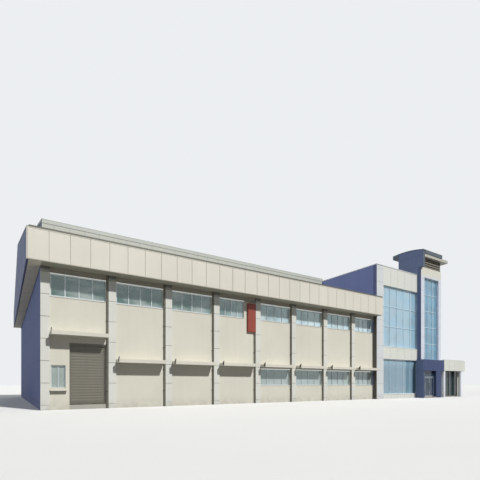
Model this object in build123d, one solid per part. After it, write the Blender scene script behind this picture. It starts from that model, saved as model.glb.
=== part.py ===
from build123d import *
import os

os.makedirs("parts", exist_ok=True)

# A factory building as a 1:2 scale model, in model millimetres: 500 mm here is 1 m of the real one.
# X runs along the front, Y goes into the building and Z is up. The drawing's zero is the hall's
# front left corner on the ground, and save() moves every piece so that the origin is the
# bottom centre of the whole building.

# Hall
hall_length = 14200.0
bay_count = 8
last_bay_cut = 200.0         # the last bay is this much shorter than the others
bay_pitch = (hall_length + last_bay_cut) / bay_count
hall_depth = 12900.0
wall_t = 150.0
hall_floor_t = 125.0
window_left = 240.0          # from a grid line to the window on its right
window_right = 60.0          # from a window to the grid line on its right
window_head_z = 3800.0
window_sill_z = 3185.0
ground_sill_z = 675.0
ground_head_z = 1300.0
first_ground_bay = 4
short_bay = 3
short_window_stop = 500.0    # from the short window to the grid line on its right
short_window_end = (short_bay + 1) * bay_pitch - short_window_stop
pilaster_width = 225.0
pilaster_proud = 60.0
pilaster_joint_z = 745.0
pilaster_joint_pitch = 615.0
pilaster_joint = 10.0
ledge_t = 100.0
ledge_reach = 350.0
ledge_z = 1375.0
dock_ledge_z = 2090.0
small_window_x = 260.0
small_window_width = 375.0
small_window_z = 615.0
small_window_height = 635.0
sill_t = 40.0
sill_reach = 100.0
sill_margin = 30.0
sill_drop = 40.0
shutter_x = 735.0
shutter_head_z = 1905.0
shutter_setback = 70.0
slat_pitch = 80.0
slat_t = 16.0
slat_rib = 3.0
guide_width = 40.0
guide_depth = 60.0
red_panel_gap = 140.0
red_panel_x = short_window_end + red_panel_gap
red_panel_width = 355.0
red_panel_z = 2680.0
red_panel_height = 1070.0
red_panel_t = 75.0
downpipe_r = 25.0
downpipe_offset = 30.0       # from a grid line to the pipe on its left
seat_gap = 0.3

# Windows
frame_bar = 24.0
frame_depth = 50.0
frame_setback = 45.0
glass_t = 12.0
panes_per_bay = 4

# Eaves and roofs
front_overhang = 500.0
side_overhang = 355.0
soffit_z = 3975.0
soffit_t = 25.0
soffit_joint = 4.0
fascia_top_z = 4810.0
fascia_t = 50.0
fascia_panels = 28
panel_joint = 12.0
gutter_width = 75.0
gutter_height = 50.0
gutter_t = 10.0
roof_slope = 0.247
roof_t = 125.0
monitor_x = 305.0
monitor_y = 3350.0
monitor_rise = 840.0
monitor_wall_t = 100.0
monitor_roof_t = 100.0

# Office
office_front = 200.0         # how far the office front stands ahead of the hall front
office_top_z = 6500.0
office_floor_t = 50.0
pier_width = 520.0
plinth_z = 225.0
spandrel_z = 1965.0
spandrel_top_z = 2565.0
parapet_z = 5565.0
band_panels = 5
curtain_setback = 100.0
office_glass_setback = 70.0
storey_t = 150.0
first_floor_z = 2250.0       # top of the first floor slab
second_floor_z = 4150.0      # top of the second floor slab
office_roof_t = 175.0
office_roof_z = 6350.0       # top of the office roof slab

# Stair tower
office_span = 3390.0         # from the hall to the tower
tower_x = hall_length + office_span
tower_width = 1910.0
tower_front = 390.0
tower_back_y = 920.0
tower_wall_z = 6900.0
vent_band_t = 90.0
vent_setback = 60.0
canopy_z = 7425.0
canopy_t = 160.0
canopy_front = 125.0
canopy_right = 470.0
tower_roof_t = 190.0
tower_roof_lip = 25.0
tower_roof_back = 330.0
tower_roof_short = 125.0
tower_roof_rise = 115.0      # how much higher the roof's back edge is than its front edge
tower_roof_bulge = 86.0      # how far its arch rises over a straight line between them
tower_roof_steps = 8
tower_reach_up = 100.0       # from the slab's underside to that of its reach at the back
tower_cap_t = 30.0           # dark cap on top of the left wall
stair_window_x = 315.0
stair_window_width = 1360.0
stair_window_z = 1990.0
stair_window_head_z = 6380.0

# Entrance portal and its doors
portal_lap = 150.0           # how far the portal reaches past the tower on the left
portal_x = tower_x - portal_lap
portal_width = 1995.0
portal_end_x = portal_x + portal_width
portal_front = 610.0
portal_top_z = 2000.0
portal_head_z = 1420.0
portal_wall_t = 75.0
portal_opening = 1205.0      # from the portal's left side to its pillar
pillar_width = 455.0
portal_pillar_x = portal_x + portal_opening
portal_pillar_end_x = portal_pillar_x + pillar_width
door_setback = 120.0
door_head_z = 1100.0
door_post = 25.0
side_post = 30.0
leaf_t = 22.0
leaf_stile = 30.0
leaf_rail = 60.0
door_gap = 6.0
hinge_r = 7.0
hinge_pin_r = 4.0
hinge_play = 0.3
hinge_height = 40.0
hinge_standoff = 10.0
hinge_low_z = 230.0
hinge_high_z = 880.0
hinge_plate = 28.0
handle_r = 6.0
handle_z = 420.0
handle_length = 380.0
handle_standoff = 25.0

# Porch and low wing
porch_length = 2215.0
porch_end_x = portal_end_x + porch_length
porch_top_z = 2050.0
porch_underside_z = 1455.0
porch_slab_t = 120.0
porch_fascia_t = 60.0
porch_panels = 4
column_r = 100.0
column_inset = 105.0
column_x = portal_end_x + column_inset
column_pitch = 1800.0
wing_front_y = -300.0
wing_back_y = 3750.0
wing_wall_t = 150.0
column_y = -500.0

# Sizes worked out from the values above
ridge_y = hall_depth / 2
fascia_end_x = hall_length + fascia_t
office_x = hall_length
tower_end_x = tower_x + tower_width
tower_front_y = -tower_front
office_front_y = -office_front
office_inner_x = office_x + wall_t
office_back_in_y = hall_depth - wall_t
pier_end_x = office_x + pier_width
tower_in_x = tower_x + wall_t
tower_in_end_x = tower_end_x - wall_t
tower_in_y = tower_front_y + wall_t
canopy_front_y = tower_front_y - canopy_front
tower_roof_z = canopy_z + canopy_t
tower_roof_y = canopy_front_y - tower_roof_lip
tower_roof_end_y = tower_back_y + tower_roof_back
centre_x = (porch_end_x - side_overhang) / 2
centre_y = (hall_depth + front_overhang - portal_front) / 2


def block(x0, x1, y0, y1, z0, z1):
    """A box between two corners."""
    return Pos((x0 + x1) / 2, (y0 + y1) / 2, (z0 + z1) / 2) * Box(x1 - x0, y1 - y0, z1 - z0)


def prism_x(outline, x0, x1):
    """A prism along X from an outline of (y, z) points."""
    return extrude(Plane.YZ.offset(x0) * Polygon(*outline, align=None), x1 - x0, dir=(1, 0, 0))


def prism_z(outline, z0, z1):
    """An upright prism from an outline of (x, y) points."""
    return extrude(Plane.XY.offset(z0) * Polygon(*outline, align=None), z1 - z0, dir=(0, 0, 1))


def rod(x, y, z, height, radius):
    """An upright cylinder, turned so that its seam lies off the main directions."""
    return Pos(x, y, z + height / 2) * Rot(0, 0, 45) * Cylinder(radius, height)


def save(node, *solids):
    """Write one node, moved so that the origin is the building's bottom centre."""
    moved = [Pos(-centre_x, -centre_y, 0) * s for piece in solids for s in piece.solids()]
    shape = moved[0] if len(moved) == 1 else Compound(children=moved)
    export_step(shape, f"parts/{node}.step")


def hall_block(back, x0, x1, out, into, z0, z1):
    """A box on the hall's front or back wall, out from the wall's face and into it."""
    if back:
        return block(x0, x1, hall_depth - into, hall_depth + out, z0, z1)
    return block(x0, x1, -out, into, z0, z1)


def roof_top(y):
    """Height of the hall roof's upper surface at a depth y."""
    eaves_y = -front_overhang
    return fascia_top_z + roof_slope * (min(y, hall_depth - y) - eaves_y)


def roof_under(y):
    """Height of the hall roof's underside at a depth y."""
    return roof_top(y) - roof_t


def framed(x0, x1, y, z0, z1, columns, rows):
    """A window frame with its bars, and the glass panes that close it as one sheet."""
    pane_w = (x1 - x0 - frame_bar * (columns + 1)) / columns
    pane_h = (z1 - z0 - frame_bar * (rows + 1)) / rows
    panes = GridLocations(pane_w + frame_bar, pane_h + frame_bar, columns, rows)
    bars = Rectangle(x1 - x0, z1 - z0) - panes * Rectangle(pane_w, pane_h)
    face = Plane(origin=((x0 + x1) / 2, y, (z0 + z1) / 2), x_dir=(1, 0, 0), z_dir=(0, -1, 0))
    frame = extrude(face * bars, frame_depth, dir=(0, 1, 0))
    glass_y = y + (frame_depth - glass_t) / 2
    slot = block(x0 + frame_bar / 2, x1 - frame_bar / 2, glass_y, glass_y + glass_t,
                 z0 + frame_bar / 2, z1 - frame_bar / 2)
    return frame - slot, slot


def window_span(bay, back):
    """The left and right edges of the high window in a bay."""
    left = bay * bay_pitch + window_left
    right = min((bay + 1) * bay_pitch - window_right, hall_length)
    if bay == short_bay and not back:
        right = short_window_end
    return left, right


def hall_frame_y(back):
    """The near face of a window frame in the hall's front or back wall."""
    return hall_depth - frame_setback - frame_depth if back else frame_setback


# Hall walls
def hall_piers(back):
    """Posts between the windows, up to the head beam."""
    posts = [hall_block(back, wall_t, window_left, 0, wall_t, 0, window_head_z)]
    for bay in range(bay_count - 1):
        left = window_span(bay, back)[1]
        right = window_span(bay + 1, back)[0]
        posts.append(hall_block(back, left, right, 0, wall_t, 0, window_head_z))
    return posts


def dock_wall():
    """The first bay's front panel, cut for the roller shutter and the small window."""
    left, right = window_span(0, False)
    panel = hall_block(False, left, right, 0, wall_t, 0, window_sill_z)
    panel -= hall_block(False, shutter_x, right, 0, wall_t, 0, shutter_head_z)
    small_end = small_window_x + small_window_width
    small_top = small_window_z + small_window_height
    return panel - hall_block(False, small_window_x, small_end, 0, wall_t, small_window_z, small_top)


def hall_panels(back):
    """Wall panels under the high windows, parted where a ground window shows."""
    panels = []
    first_bay = 0 if back else 1
    for bay in range(first_bay, bay_count):
        left, right = window_span(bay, back)
        if bay < first_ground_bay:
            panels.append(hall_block(back, left, right, 0, wall_t, 0, window_sill_z))
        else:
            panels.append(hall_block(back, left, right, 0, wall_t, 0, ground_sill_z))
            panels.append(hall_block(back, left, right, 0, wall_t, ground_head_z, window_sill_z))
    return panels


def head_beam(back):
    """The wall over the high windows, cut to the roof's slope."""
    top_out = roof_under(0)
    top_in = roof_under(wall_t)
    outline = [(0, window_head_z), (wall_t, window_head_z), (wall_t, top_in), (0, top_out)]
    if back:
        outline = [(hall_depth - y, z) for y, z in outline]
    return prism_x(outline, wall_t, hall_length)


def gable(y0, y1, z0, height):
    """A gable outline whose top follows a height function over the ridge."""
    return [(y0, z0), (y1, z0), (y1, height(y1)), (ridge_y, height(ridge_y)), (y0, height(y0))]


def pilasters(back):
    """Flat strips on the wall face, with joints cut across them."""
    strips = []
    joints = int((soffit_z - pilaster_joint_z) // pilaster_joint_pitch)
    for bay in range(bay_count):
        x0 = bay * bay_pitch
        x1 = x0 + pilaster_width
        strip = hall_block(back, x0, x1, pilaster_proud, 0, 0, soffit_z)
        grooves = []
        for i in range(joints):
            z = pilaster_joint_z + i * pilaster_joint_pitch
            grooves.append(hall_block(back, x0, x1, pilaster_proud, pilaster_joint - pilaster_proud,
                                      z, z + pilaster_joint))
        strips.append(strip - grooves)
    return strips


def ledges(back):
    """The projecting slab over each bay's ground storey, between the pilasters."""
    slabs = []
    for bay in range(bay_count):
        x0 = bay * bay_pitch + window_left
        x1 = min((bay + 1) * bay_pitch - window_right, hall_length)
        z = dock_ledge_z if bay == 0 and not back else ledge_z
        slabs.append(hall_block(back, x0, x1, ledge_reach, 0, z, z + ledge_t))
    return slabs


def small_sill():
    """The sill under the small window."""
    x0 = small_window_x - sill_margin
    x1 = small_window_x + small_window_width + sill_margin
    z1 = small_window_z - sill_drop
    return hall_block(False, x0, x1, sill_reach, 0, z1 - sill_t, z1)


def downpipes(back):
    """Round pipes left of each pilaster, from the soffit to the ground."""
    pipes = []
    y = hall_depth + downpipe_r + seat_gap if back else -downpipe_r - seat_gap
    for bay in range(1, bay_count):
        x = bay * bay_pitch - downpipe_offset
        top = red_panel_z if bay == short_bay + 1 and not back else soffit_z
        pipes.append(Pos(x, y, top / 2) * Cylinder(downpipe_r, top))
    return pipes


def hall_windows():
    """Frames and glass of the high windows, the ground windows and the small window."""
    pairs = []
    for back in (False, True):
        y = hall_frame_y(back)
        for bay in range(bay_count):
            left, right = window_span(bay, back)
            pairs.append(framed(left, right, y, window_sill_z, window_head_z, panes_per_bay, 1))
            if bay >= first_ground_bay:
                pairs.append(framed(left, right, y, ground_sill_z, ground_head_z, panes_per_bay, 1))
    pairs.append(framed(small_window_x, small_window_x + small_window_width, hall_frame_y(False),
                        small_window_z, small_window_z + small_window_height, 2, 1))
    return [frame for frame, glass in pairs], [glass for frame, glass in pairs]


def shutter_curtain():
    """The roller shutter's curtain, an extrusion of its ribbed slats."""
    x0 = shutter_x + guide_width
    x1 = window_span(0, False)[1] - guide_width
    front = shutter_setback
    back = front + slat_t
    slats = int((shutter_head_z - hall_floor_t) // slat_pitch)
    pitch = (shutter_head_z - hall_floor_t) / slats
    outline = [(back, shutter_head_z), (back, hall_floor_t)]
    for i in range(slats):
        z = hall_floor_t + i * pitch
        outline += [(front, z), (front - slat_rib, z + pitch * 0.3), (front - slat_rib, z + pitch * 0.7)]
    outline.append((front, shutter_head_z))
    return prism_x(outline, x0, x1)


def shutter_guides():
    """The two upright channels that hold the shutter's edges."""
    x0 = shutter_x
    x1 = window_span(0, False)[1]
    y0 = shutter_setback - slat_rib - guide_depth / 4
    z0 = hall_floor_t
    left = block(x0, x0 + guide_width, y0, y0 + guide_depth, z0, shutter_head_z)
    right = block(x1 - guide_width, x1, y0, y0 + guide_depth, z0, shutter_head_z)
    return left, right


def hall_floor():
    """The floor slab, which runs out to the wall's face under the shutter."""
    slab = block(wall_t, hall_length, wall_t, hall_depth - wall_t, 0, hall_floor_t)
    return slab + block(shutter_x, window_span(0, False)[1], 0, wall_t, 0, hall_floor_t)


# Eaves and roofs
def fascia(back):
    """The deep panelled fascia, returned to the office pier, with its joints cut."""
    x0 = -side_overhang
    face = front_overhang
    body = hall_block(back, x0, fascia_end_x, face, fascia_t - face, soffit_z, fascia_top_z)
    stop = 0 if back else office_front
    end = hall_block(back, fascia_end_x - fascia_t, fascia_end_x, face, -stop, soffit_z, fascia_top_z)
    body += end
    pitch = (fascia_end_x - x0) / fascia_panels
    grooves = []
    for i in range(1, fascia_panels):
        x = x0 + i * pitch
        grooves.append(hall_block(back, x - panel_joint / 2, x + panel_joint / 2, face,
                                  panel_joint - face, soffit_z, fascia_top_z))
    return body - grooves


def gable_fascia():
    """The tall side panel of the roof's overhang, up to the roof's slopes."""
    y0 = -front_overhang + fascia_t
    outline = gable(y0, hall_depth - y0, soffit_z, roof_top)
    return prism_x(outline, -side_overhang, -side_overhang + fascia_t)


def soffits():
    """Flat linings under the front, back and side overhangs, parted by joints."""
    x0 = -side_overhang + fascia_t
    x1 = fascia_end_x - fascia_t
    y0 = -front_overhang + fascia_t
    front = block(x0, x1, y0, 0, soffit_z, soffit_z + soffit_t)
    back = block(x0, x1, hall_depth, hall_depth - y0, soffit_z, soffit_z + soffit_t)
    side = block(x0, 0, soffit_joint, hall_depth - soffit_joint, soffit_z, soffit_z + soffit_t)
    return front, back, side


def gutter(back):
    """The eaves gutter on the fascia, an open channel."""
    x0 = -side_overhang + fascia_t
    out = front_overhang
    trough = hall_block(back, x0, fascia_end_x, out, gutter_width - out, fascia_top_z,
                        fascia_top_z + gutter_height)
    return trough - hall_block(back, x0 + gutter_t, fascia_end_x - gutter_t, out - gutter_t,
                               gutter_width - gutter_t - out, fascia_top_z + gutter_t,
                               fascia_top_z + gutter_height)


def hall_roof_slope(back):
    """One slope of the hall roof, cut out under the raised monitor."""
    y0 = -front_overhang + gutter_width
    outline = [(y0, roof_under(y0)), (ridge_y, roof_under(ridge_y)), (ridge_y, roof_top(ridge_y)),
               (y0, roof_top(y0))]
    if back:
        outline = [(hall_depth - y, z) for y, z in outline]
    slope = prism_x(outline, -side_overhang + fascia_t, hall_length)
    top = roof_top(ridge_y) + roof_t
    return slope - block(monitor_x, hall_length, monitor_y, hall_depth - monitor_y, 0, top)


def monitor_top(y):
    """Height of the monitor roof's upper surface."""
    return roof_top(y) + monitor_rise


def monitor_under(y):
    """Height of the monitor roof's underside."""
    return monitor_top(y) - monitor_roof_t


def monitor_wall(back):
    """The monitor's long front or back wall."""
    y0 = monitor_y
    y1 = monitor_y + monitor_wall_t
    z0 = roof_under(y0)
    outline = [(y0, z0), (y1, z0), (y1, monitor_under(y1)), (y0, monitor_under(y0))]
    if back:
        outline = [(hall_depth - y, z) for y, z in outline]
    return prism_x(outline, monitor_x, hall_length)


def monitor_end_wall(x0):
    """One gable end of the monitor, from x0 to the right."""
    y0 = monitor_y + monitor_wall_t
    outline = gable(y0, hall_depth - y0, roof_under(monitor_y), monitor_under)
    return prism_x(outline, x0, x0 + monitor_wall_t)


def monitor_roof():
    """The monitor's folded roof, in one piece over its ridge."""
    y0 = monitor_y
    y1 = hall_depth - monitor_y
    outline = [(y0, monitor_under(y0)), (ridge_y, monitor_under(ridge_y)), (y1, monitor_under(y1)),
               (y1, monitor_top(y1)), (ridge_y, monitor_top(ridge_y)), (y0, monitor_top(y0))]
    return prism_x(outline, monitor_x, hall_length)


# Office
def office_piers():
    """The white pier beside the hall, and the two piers at the back corners."""
    back_x = tower_end_x - pier_width
    front = block(office_x, pier_end_x, office_front_y, 0, 0, office_top_z)
    back_left = block(office_x, pier_end_x, office_back_in_y, hall_depth, 0, office_top_z)
    back_right = block(back_x, tower_end_x, office_back_in_y, hall_depth, 0, office_top_z)
    return front, back_left, back_right


def office_band(x0, x1, y0, y1, z0, z1, joint_y):
    """One level band of the office wall, with upright joints cut in its outer face."""
    band = block(x0, x1, y0, y1, z0, z1)
    pitch = (x1 - x0) / band_panels
    for i in range(1, band_panels):
        x = x0 + i * pitch
        band -= block(x - panel_joint / 2, x + panel_joint / 2, joint_y - panel_joint,
                      joint_y + panel_joint, z0, z1)
    return band


def office_bands():
    """Plinths, spandrels and parapets of the office front and back."""
    levels = ((0, plinth_z), (spandrel_z, spandrel_top_z), (parapet_z, office_top_z))
    bands = []
    for z0, z1 in levels:
        bands.append(office_band(pier_end_x, tower_x, office_front_y, 0, z0, z1, office_front_y))
        bands.append(office_band(pier_end_x, tower_end_x - pier_width, office_back_in_y, hall_depth,
                                 z0, z1, hall_depth))
    return bands


def curtain_walls():
    """Frames and glass of the office, the stair window and the wing."""
    front_y = office_front_y + office_glass_setback
    back_y = hall_depth - curtain_setback - frame_depth
    stair_x = tower_x + stair_window_x
    stair_y = tower_front_y + curtain_setback
    back_x = tower_end_x - pier_width
    wing_end = porch_end_x - porch_fascia_t - wing_wall_t
    pairs = [
        framed(pier_end_x, tower_x, front_y, spandrel_top_z, parapet_z, 5, 3),
        framed(pier_end_x, tower_x, front_y, plinth_z, spandrel_z, 5, 1),
        framed(pier_end_x, back_x, back_y, spandrel_top_z, parapet_z, 7, 3),
        framed(pier_end_x, back_x, back_y, plinth_z, spandrel_z, 7, 1),
        framed(stair_x, stair_x + stair_window_width, stair_y, stair_window_z, stair_window_head_z, 3, 5),
        framed(tower_end_x, wing_end, wing_front_y, office_floor_t, porch_top_z - porch_slab_t, 4, 1),
    ]
    return [frame for frame, glass in pairs], [glass for frame, glass in pairs]


def office_side_walls():
    """The wall between hall and office, and the office's right wall behind the tower."""
    left = block(office_x, office_inner_x, 0, office_back_in_y, 0, office_top_z)
    right = block(tower_in_end_x, tower_end_x, tower_back_y, office_back_in_y, 0, office_top_z)
    return left, right


def office_slab(z0, z1, notch_x):
    """A slab over the office, notched round the stair tower."""
    outline = [(office_inner_x, 0), (notch_x, 0), (notch_x, tower_back_y - wall_t),
               (tower_in_end_x, tower_back_y - wall_t), (tower_in_end_x, office_back_in_y),
               (office_inner_x, office_back_in_y)]
    return prism_z(outline, z0, z1)


def ground_slab():
    """The office's ground floor, which runs through the tower to the doors."""
    nose_y = -portal_front
    outline = [(office_inner_x, 0), (tower_in_x, 0), (tower_in_x, tower_front_y),
               (portal_x + portal_wall_t, tower_front_y), (portal_x + portal_wall_t, nose_y),
               (portal_pillar_x, nose_y), (portal_pillar_x, tower_in_y), (tower_in_end_x, tower_in_y),
               (tower_in_end_x, office_back_in_y), (office_inner_x, office_back_in_y)]
    return prism_z(outline, 0, office_floor_t)


def office_floors():
    """The ground, first and second floors, and the wing's floor."""
    first = office_slab(first_floor_z - storey_t, first_floor_z, tower_x)
    second = office_slab(second_floor_z - storey_t, second_floor_z, tower_x)
    wing_end = porch_end_x - porch_fascia_t - wing_wall_t
    wing_back = wing_back_y - porch_fascia_t - wing_wall_t
    wing = block(tower_end_x, wing_end, wing_front_y, wing_back, 0, office_floor_t)
    return ground_slab(), first, second, wing


# Stair tower
def tower_top(y):
    """Height of the tower roof's arched upper surface at a depth y."""
    share = (y - tower_roof_y) / (tower_roof_end_y - tower_roof_y)
    arch = 4 * tower_roof_bulge * share * (1 - share)
    return tower_roof_z + tower_roof_t + tower_roof_rise * share + arch


def tower_crown(drop):
    """Points along the arch over the tower's left wall from front to back, lowered by a drop."""
    length = tower_back_y - canopy_front_y
    depths = [canopy_front_y + length * i / tower_roof_steps for i in range(tower_roof_steps + 1)]
    return [(y, tower_top(y) - drop) for y in depths]


def tower_front_wall():
    """The tower's front, cut for the stair window and the doorway."""
    wall = block(tower_x, tower_end_x, tower_front_y, tower_in_y, 0, tower_wall_z)
    x0 = tower_x + stair_window_x
    wall -= block(x0, x0 + stair_window_width, tower_front_y, tower_in_y, stair_window_z,
                  stair_window_head_z)
    return wall - block(tower_in_x, portal_pillar_x, tower_front_y, tower_in_y, 0, portal_head_z)


def tower_side_walls():
    """The tower's left wall, stepped at its foot and under its top, and its plain right wall."""
    outline = [(tower_in_y, 0), (0, 0), (0, office_roof_z), (tower_back_y, office_roof_z),
               *reversed(tower_crown(tower_cap_t)), (canopy_front_y, tower_wall_z),
               (tower_in_y, tower_wall_z)]
    left = prism_x(outline, tower_x, tower_in_x)
    right = block(tower_in_end_x, tower_end_x, tower_in_y, tower_back_y, 0, canopy_z)
    return left, right


def tower_back_wall():
    """The tower's back wall over the office roof."""
    return block(tower_in_x, tower_in_end_x, tower_back_y - wall_t, tower_back_y, office_roof_z, canopy_z)


def vent_band():
    """The dark set-back band between the tower's front wall and its canopy."""
    y0 = tower_front_y + vent_setback
    return block(tower_in_x, tower_end_x, y0, y0 + vent_band_t, tower_wall_z, canopy_z)


def tower_canopy():
    """The pale slab that reaches from the left wall forward and to the right of the tower."""
    return block(tower_in_x, tower_end_x + canopy_right, canopy_front_y, tower_back_y,
                 canopy_z, tower_roof_z)


def tower_roof():
    """The dark arched roof slab, with its cap over the left wall and its reach at the back."""
    x0 = tower_x - tower_roof_lip
    x1 = tower_end_x - tower_roof_short
    reach_z = tower_roof_z + tower_reach_up
    front = (tower_roof_y, tower_top(tower_roof_y))
    back = (tower_roof_end_y, tower_top(tower_roof_end_y))
    crown = tower_crown(0)
    front_low = (tower_roof_y, tower_roof_z)
    slab = prism_x([front_low, front, *crown, (tower_back_y, tower_roof_z)], tower_in_x, x1)
    reach = prism_x([(tower_back_y, reach_z), crown[-1], back, (tower_roof_end_y, reach_z)], x0, x1)
    cap_front = (tower_roof_y, front[1] - tower_cap_t)
    cap = prism_x([cap_front, front, *crown, *reversed(tower_crown(tower_cap_t))], x0, tower_in_x)
    return slab + reach + cap


# Entrance portal and doors
def portal():
    """The portal box: a side wall, a pillar and a deep head over the doors."""
    y0 = -portal_front
    side = block(portal_x, portal_x + portal_wall_t, y0, office_front_y, 0, portal_head_z)
    pillar = block(portal_pillar_x, portal_pillar_end_x, y0, tower_front_y, 0, portal_head_z)
    head = block(portal_x, portal_end_x, y0, tower_front_y, portal_head_z, portal_top_z)
    link = block(portal_x, tower_x, tower_front_y, office_front_y, portal_head_z, portal_top_z)
    return head + link + side + pillar


door_face_y = -portal_front + door_setback
doorway_x = tower_in_x + side_post
doorway_end_x = portal_pillar_x - door_post
leaf_width = (doorway_end_x - doorway_x - 3 * door_gap) / 2
hinge_y = door_face_y - hinge_standoff


def hinge_x(right):
    """The hinge line of the left or right leaf, in the gap beside its post."""
    return doorway_end_x - door_gap / 2 if right else doorway_x + door_gap / 2


def fixed_hinges(right):
    """The pins on the door frame, each on a lug fixed to its post."""
    x = hinge_x(right)
    lug_x = x + hinge_plate if right else x - hinge_plate
    parts = []
    for z in (hinge_low_z, hinge_high_z):
        lug = block(min(x, lug_x), max(x, lug_x), hinge_y, door_face_y, z, z + hinge_height)
        knuckle = rod(x, hinge_y, z, hinge_height, hinge_r)
        pin = rod(x, hinge_y, z, hinge_height * 2, hinge_pin_r)
        parts.append(lug + knuckle + pin)
    return parts


def entrance_frame():
    """Posts, head and transom round the side light and the doorway, with the hinge pins."""
    x0 = portal_x + portal_wall_t
    y1 = door_face_y + frame_depth
    frame = block(x0, portal_pillar_x, door_face_y, y1, office_floor_t, portal_head_z)
    side_glass_x = x0 + door_post
    frame -= block(side_glass_x, tower_in_x, door_face_y, y1, office_floor_t + door_post,
                   portal_head_z - door_post)
    frame -= block(doorway_x, doorway_end_x, door_face_y, y1, office_floor_t, door_head_z)
    frame -= block(doorway_x, doorway_end_x, door_face_y, y1, door_head_z + door_post,
                   portal_head_z - door_post)
    for right in (False, True):
        for hinge in fixed_hinges(right):
            frame += hinge
    return frame


def entrance_glass():
    """The side light and the light over the doors."""
    y0 = door_face_y + (frame_depth - glass_t) / 2
    side_x = portal_x + portal_wall_t + door_post
    side = block(side_x, tower_in_x, y0, y0 + glass_t, office_floor_t + door_post,
                 portal_head_z - door_post)
    over = block(doorway_x, doorway_end_x, y0, y0 + glass_t, door_head_z + door_post,
                 portal_head_z - door_post)
    return side, over


def leaf_span(right):
    """The left and right edges of a closed leaf."""
    if right:
        return doorway_end_x - door_gap - leaf_width, doorway_end_x - door_gap
    return doorway_x + door_gap, doorway_x + door_gap + leaf_width


def door_leaf(right):
    """A door leaf's frame, with its pull bar and the knuckles that sit on the pins."""
    x0, x1 = leaf_span(right)
    y0 = door_face_y
    z0 = office_floor_t + door_gap
    z1 = door_head_z - door_gap
    leaf = block(x0, x1, y0, y0 + leaf_t, z0, z1)
    leaf -= block(x0 + leaf_stile, x1 - leaf_stile, y0, y0 + leaf_t, z0 + leaf_rail, z1 - leaf_rail)
    pull_x = x0 + leaf_stile / 2 if right else x1 - leaf_stile / 2
    pull_y = y0 - handle_standoff
    stud_half = handle_r / 2
    leaf += rod(pull_x, pull_y, handle_z, handle_length, handle_r)
    for z in (handle_z + handle_length * 0.15, handle_z + handle_length * 0.85):
        leaf += block(pull_x - stud_half, pull_x + stud_half, pull_y, y0, z - stud_half, z + stud_half)
    x = hinge_x(right)
    reach_x = x - hinge_plate if right else x + hinge_plate
    for z in (hinge_low_z, hinge_high_z):
        z2 = z + hinge_height + hinge_play
        z3 = z2 + hinge_height
        leaf += block(min(x, reach_x), max(x, reach_x), hinge_y, y0, z2, z3)
        leaf += rod(x, hinge_y, z2, hinge_height, hinge_r)
        leaf -= rod(x, hinge_y, z2, hinge_height, hinge_pin_r + hinge_play)
    return leaf


def door_glass(right):
    """The pane that fills a leaf's frame."""
    x0, x1 = leaf_span(right)
    y0 = door_face_y + (leaf_t - glass_t) / 2
    z0 = office_floor_t + door_gap + leaf_rail
    z1 = door_head_z - door_gap - leaf_rail
    return block(x0 + leaf_stile, x1 - leaf_stile, y0, y0 + glass_t, z0, z1)


# Porch and wing
def porch_roof():
    """The flat roof of porch and wing, with its deep panelled edge."""
    front_y = -portal_front
    outline = [(portal_end_x, front_y), (porch_end_x, front_y), (porch_end_x, wing_back_y),
               (tower_end_x, wing_back_y), (tower_end_x, tower_front_y), (portal_end_x, tower_front_y)]
    roof = prism_z(outline, porch_underside_z, porch_top_z)
    t = porch_fascia_t
    roof -= block(tower_end_x, porch_end_x - t, tower_front_y, wing_back_y - t, porch_underside_z,
                  porch_top_z - porch_slab_t)
    pitch = (porch_end_x - portal_end_x) / porch_panels
    for i in range(1, porch_panels):
        x = portal_end_x + i * pitch
        roof -= block(x - panel_joint / 2, x + panel_joint / 2, front_y, front_y + panel_joint,
                      porch_underside_z, porch_top_z)
    return roof


def porch_columns():
    """Two round columns under the porch roof."""
    top = porch_underside_z
    spots = (column_x, column_x + column_pitch)
    return [Pos(x, column_y, top / 2) * Cylinder(column_r, top) for x in spots]


def wing_walls():
    """The wing's right and back walls, in one angle."""
    x1 = porch_end_x - porch_fascia_t
    y1 = wing_back_y - porch_fascia_t
    t = wing_wall_t
    outline = [(x1 - t, wing_front_y), (x1, wing_front_y), (x1, y1), (tower_end_x, y1),
               (tower_end_x, y1 - t), (x1 - t, y1 - t)]
    return prism_z(outline, 0, porch_top_z - porch_slab_t)


save("hall_floor", hall_floor())
save("dock_wall", dock_wall())
save("hall_front_wall", *hall_panels(False))
save("hall_back_wall", *hall_panels(True))
save("hall_piers", *hall_piers(False), *hall_piers(True))
save("hall_head_beams", head_beam(False), head_beam(True))
save("hall_left_wall", prism_x(gable(0, hall_depth, 0, roof_under), 0, wall_t))
save("pilasters", *pilasters(False), *pilasters(True))
save("wall_ledges", *ledges(False), *ledges(True), small_sill())
save("downpipes", *downpipes(False), *downpipes(True))
save("roller_shutter", shutter_curtain())
save("shutter_guides", *shutter_guides())
save("red_panel", hall_block(False, red_panel_x, red_panel_x + red_panel_width, red_panel_t, 0,
                             red_panel_z, red_panel_z + red_panel_height))
hall_frames, hall_glass = hall_windows()
save("hall_window_frames", *hall_frames)
save("hall_window_glass", *hall_glass)

save("front_fascia", fascia(False))
save("back_fascia", fascia(True))
save("gable_fascia", gable_fascia())
save("eaves_soffits", *soffits())
save("roof_gutters", gutter(False), gutter(True))
save("front_roof_slope", hall_roof_slope(False))
save("back_roof_slope", hall_roof_slope(True))
save("monitor_side_walls", monitor_wall(False), monitor_wall(True))
save("monitor_end_walls", monitor_end_wall(monitor_x), monitor_end_wall(hall_length - monitor_wall_t))
save("monitor_roof", monitor_roof())

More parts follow.
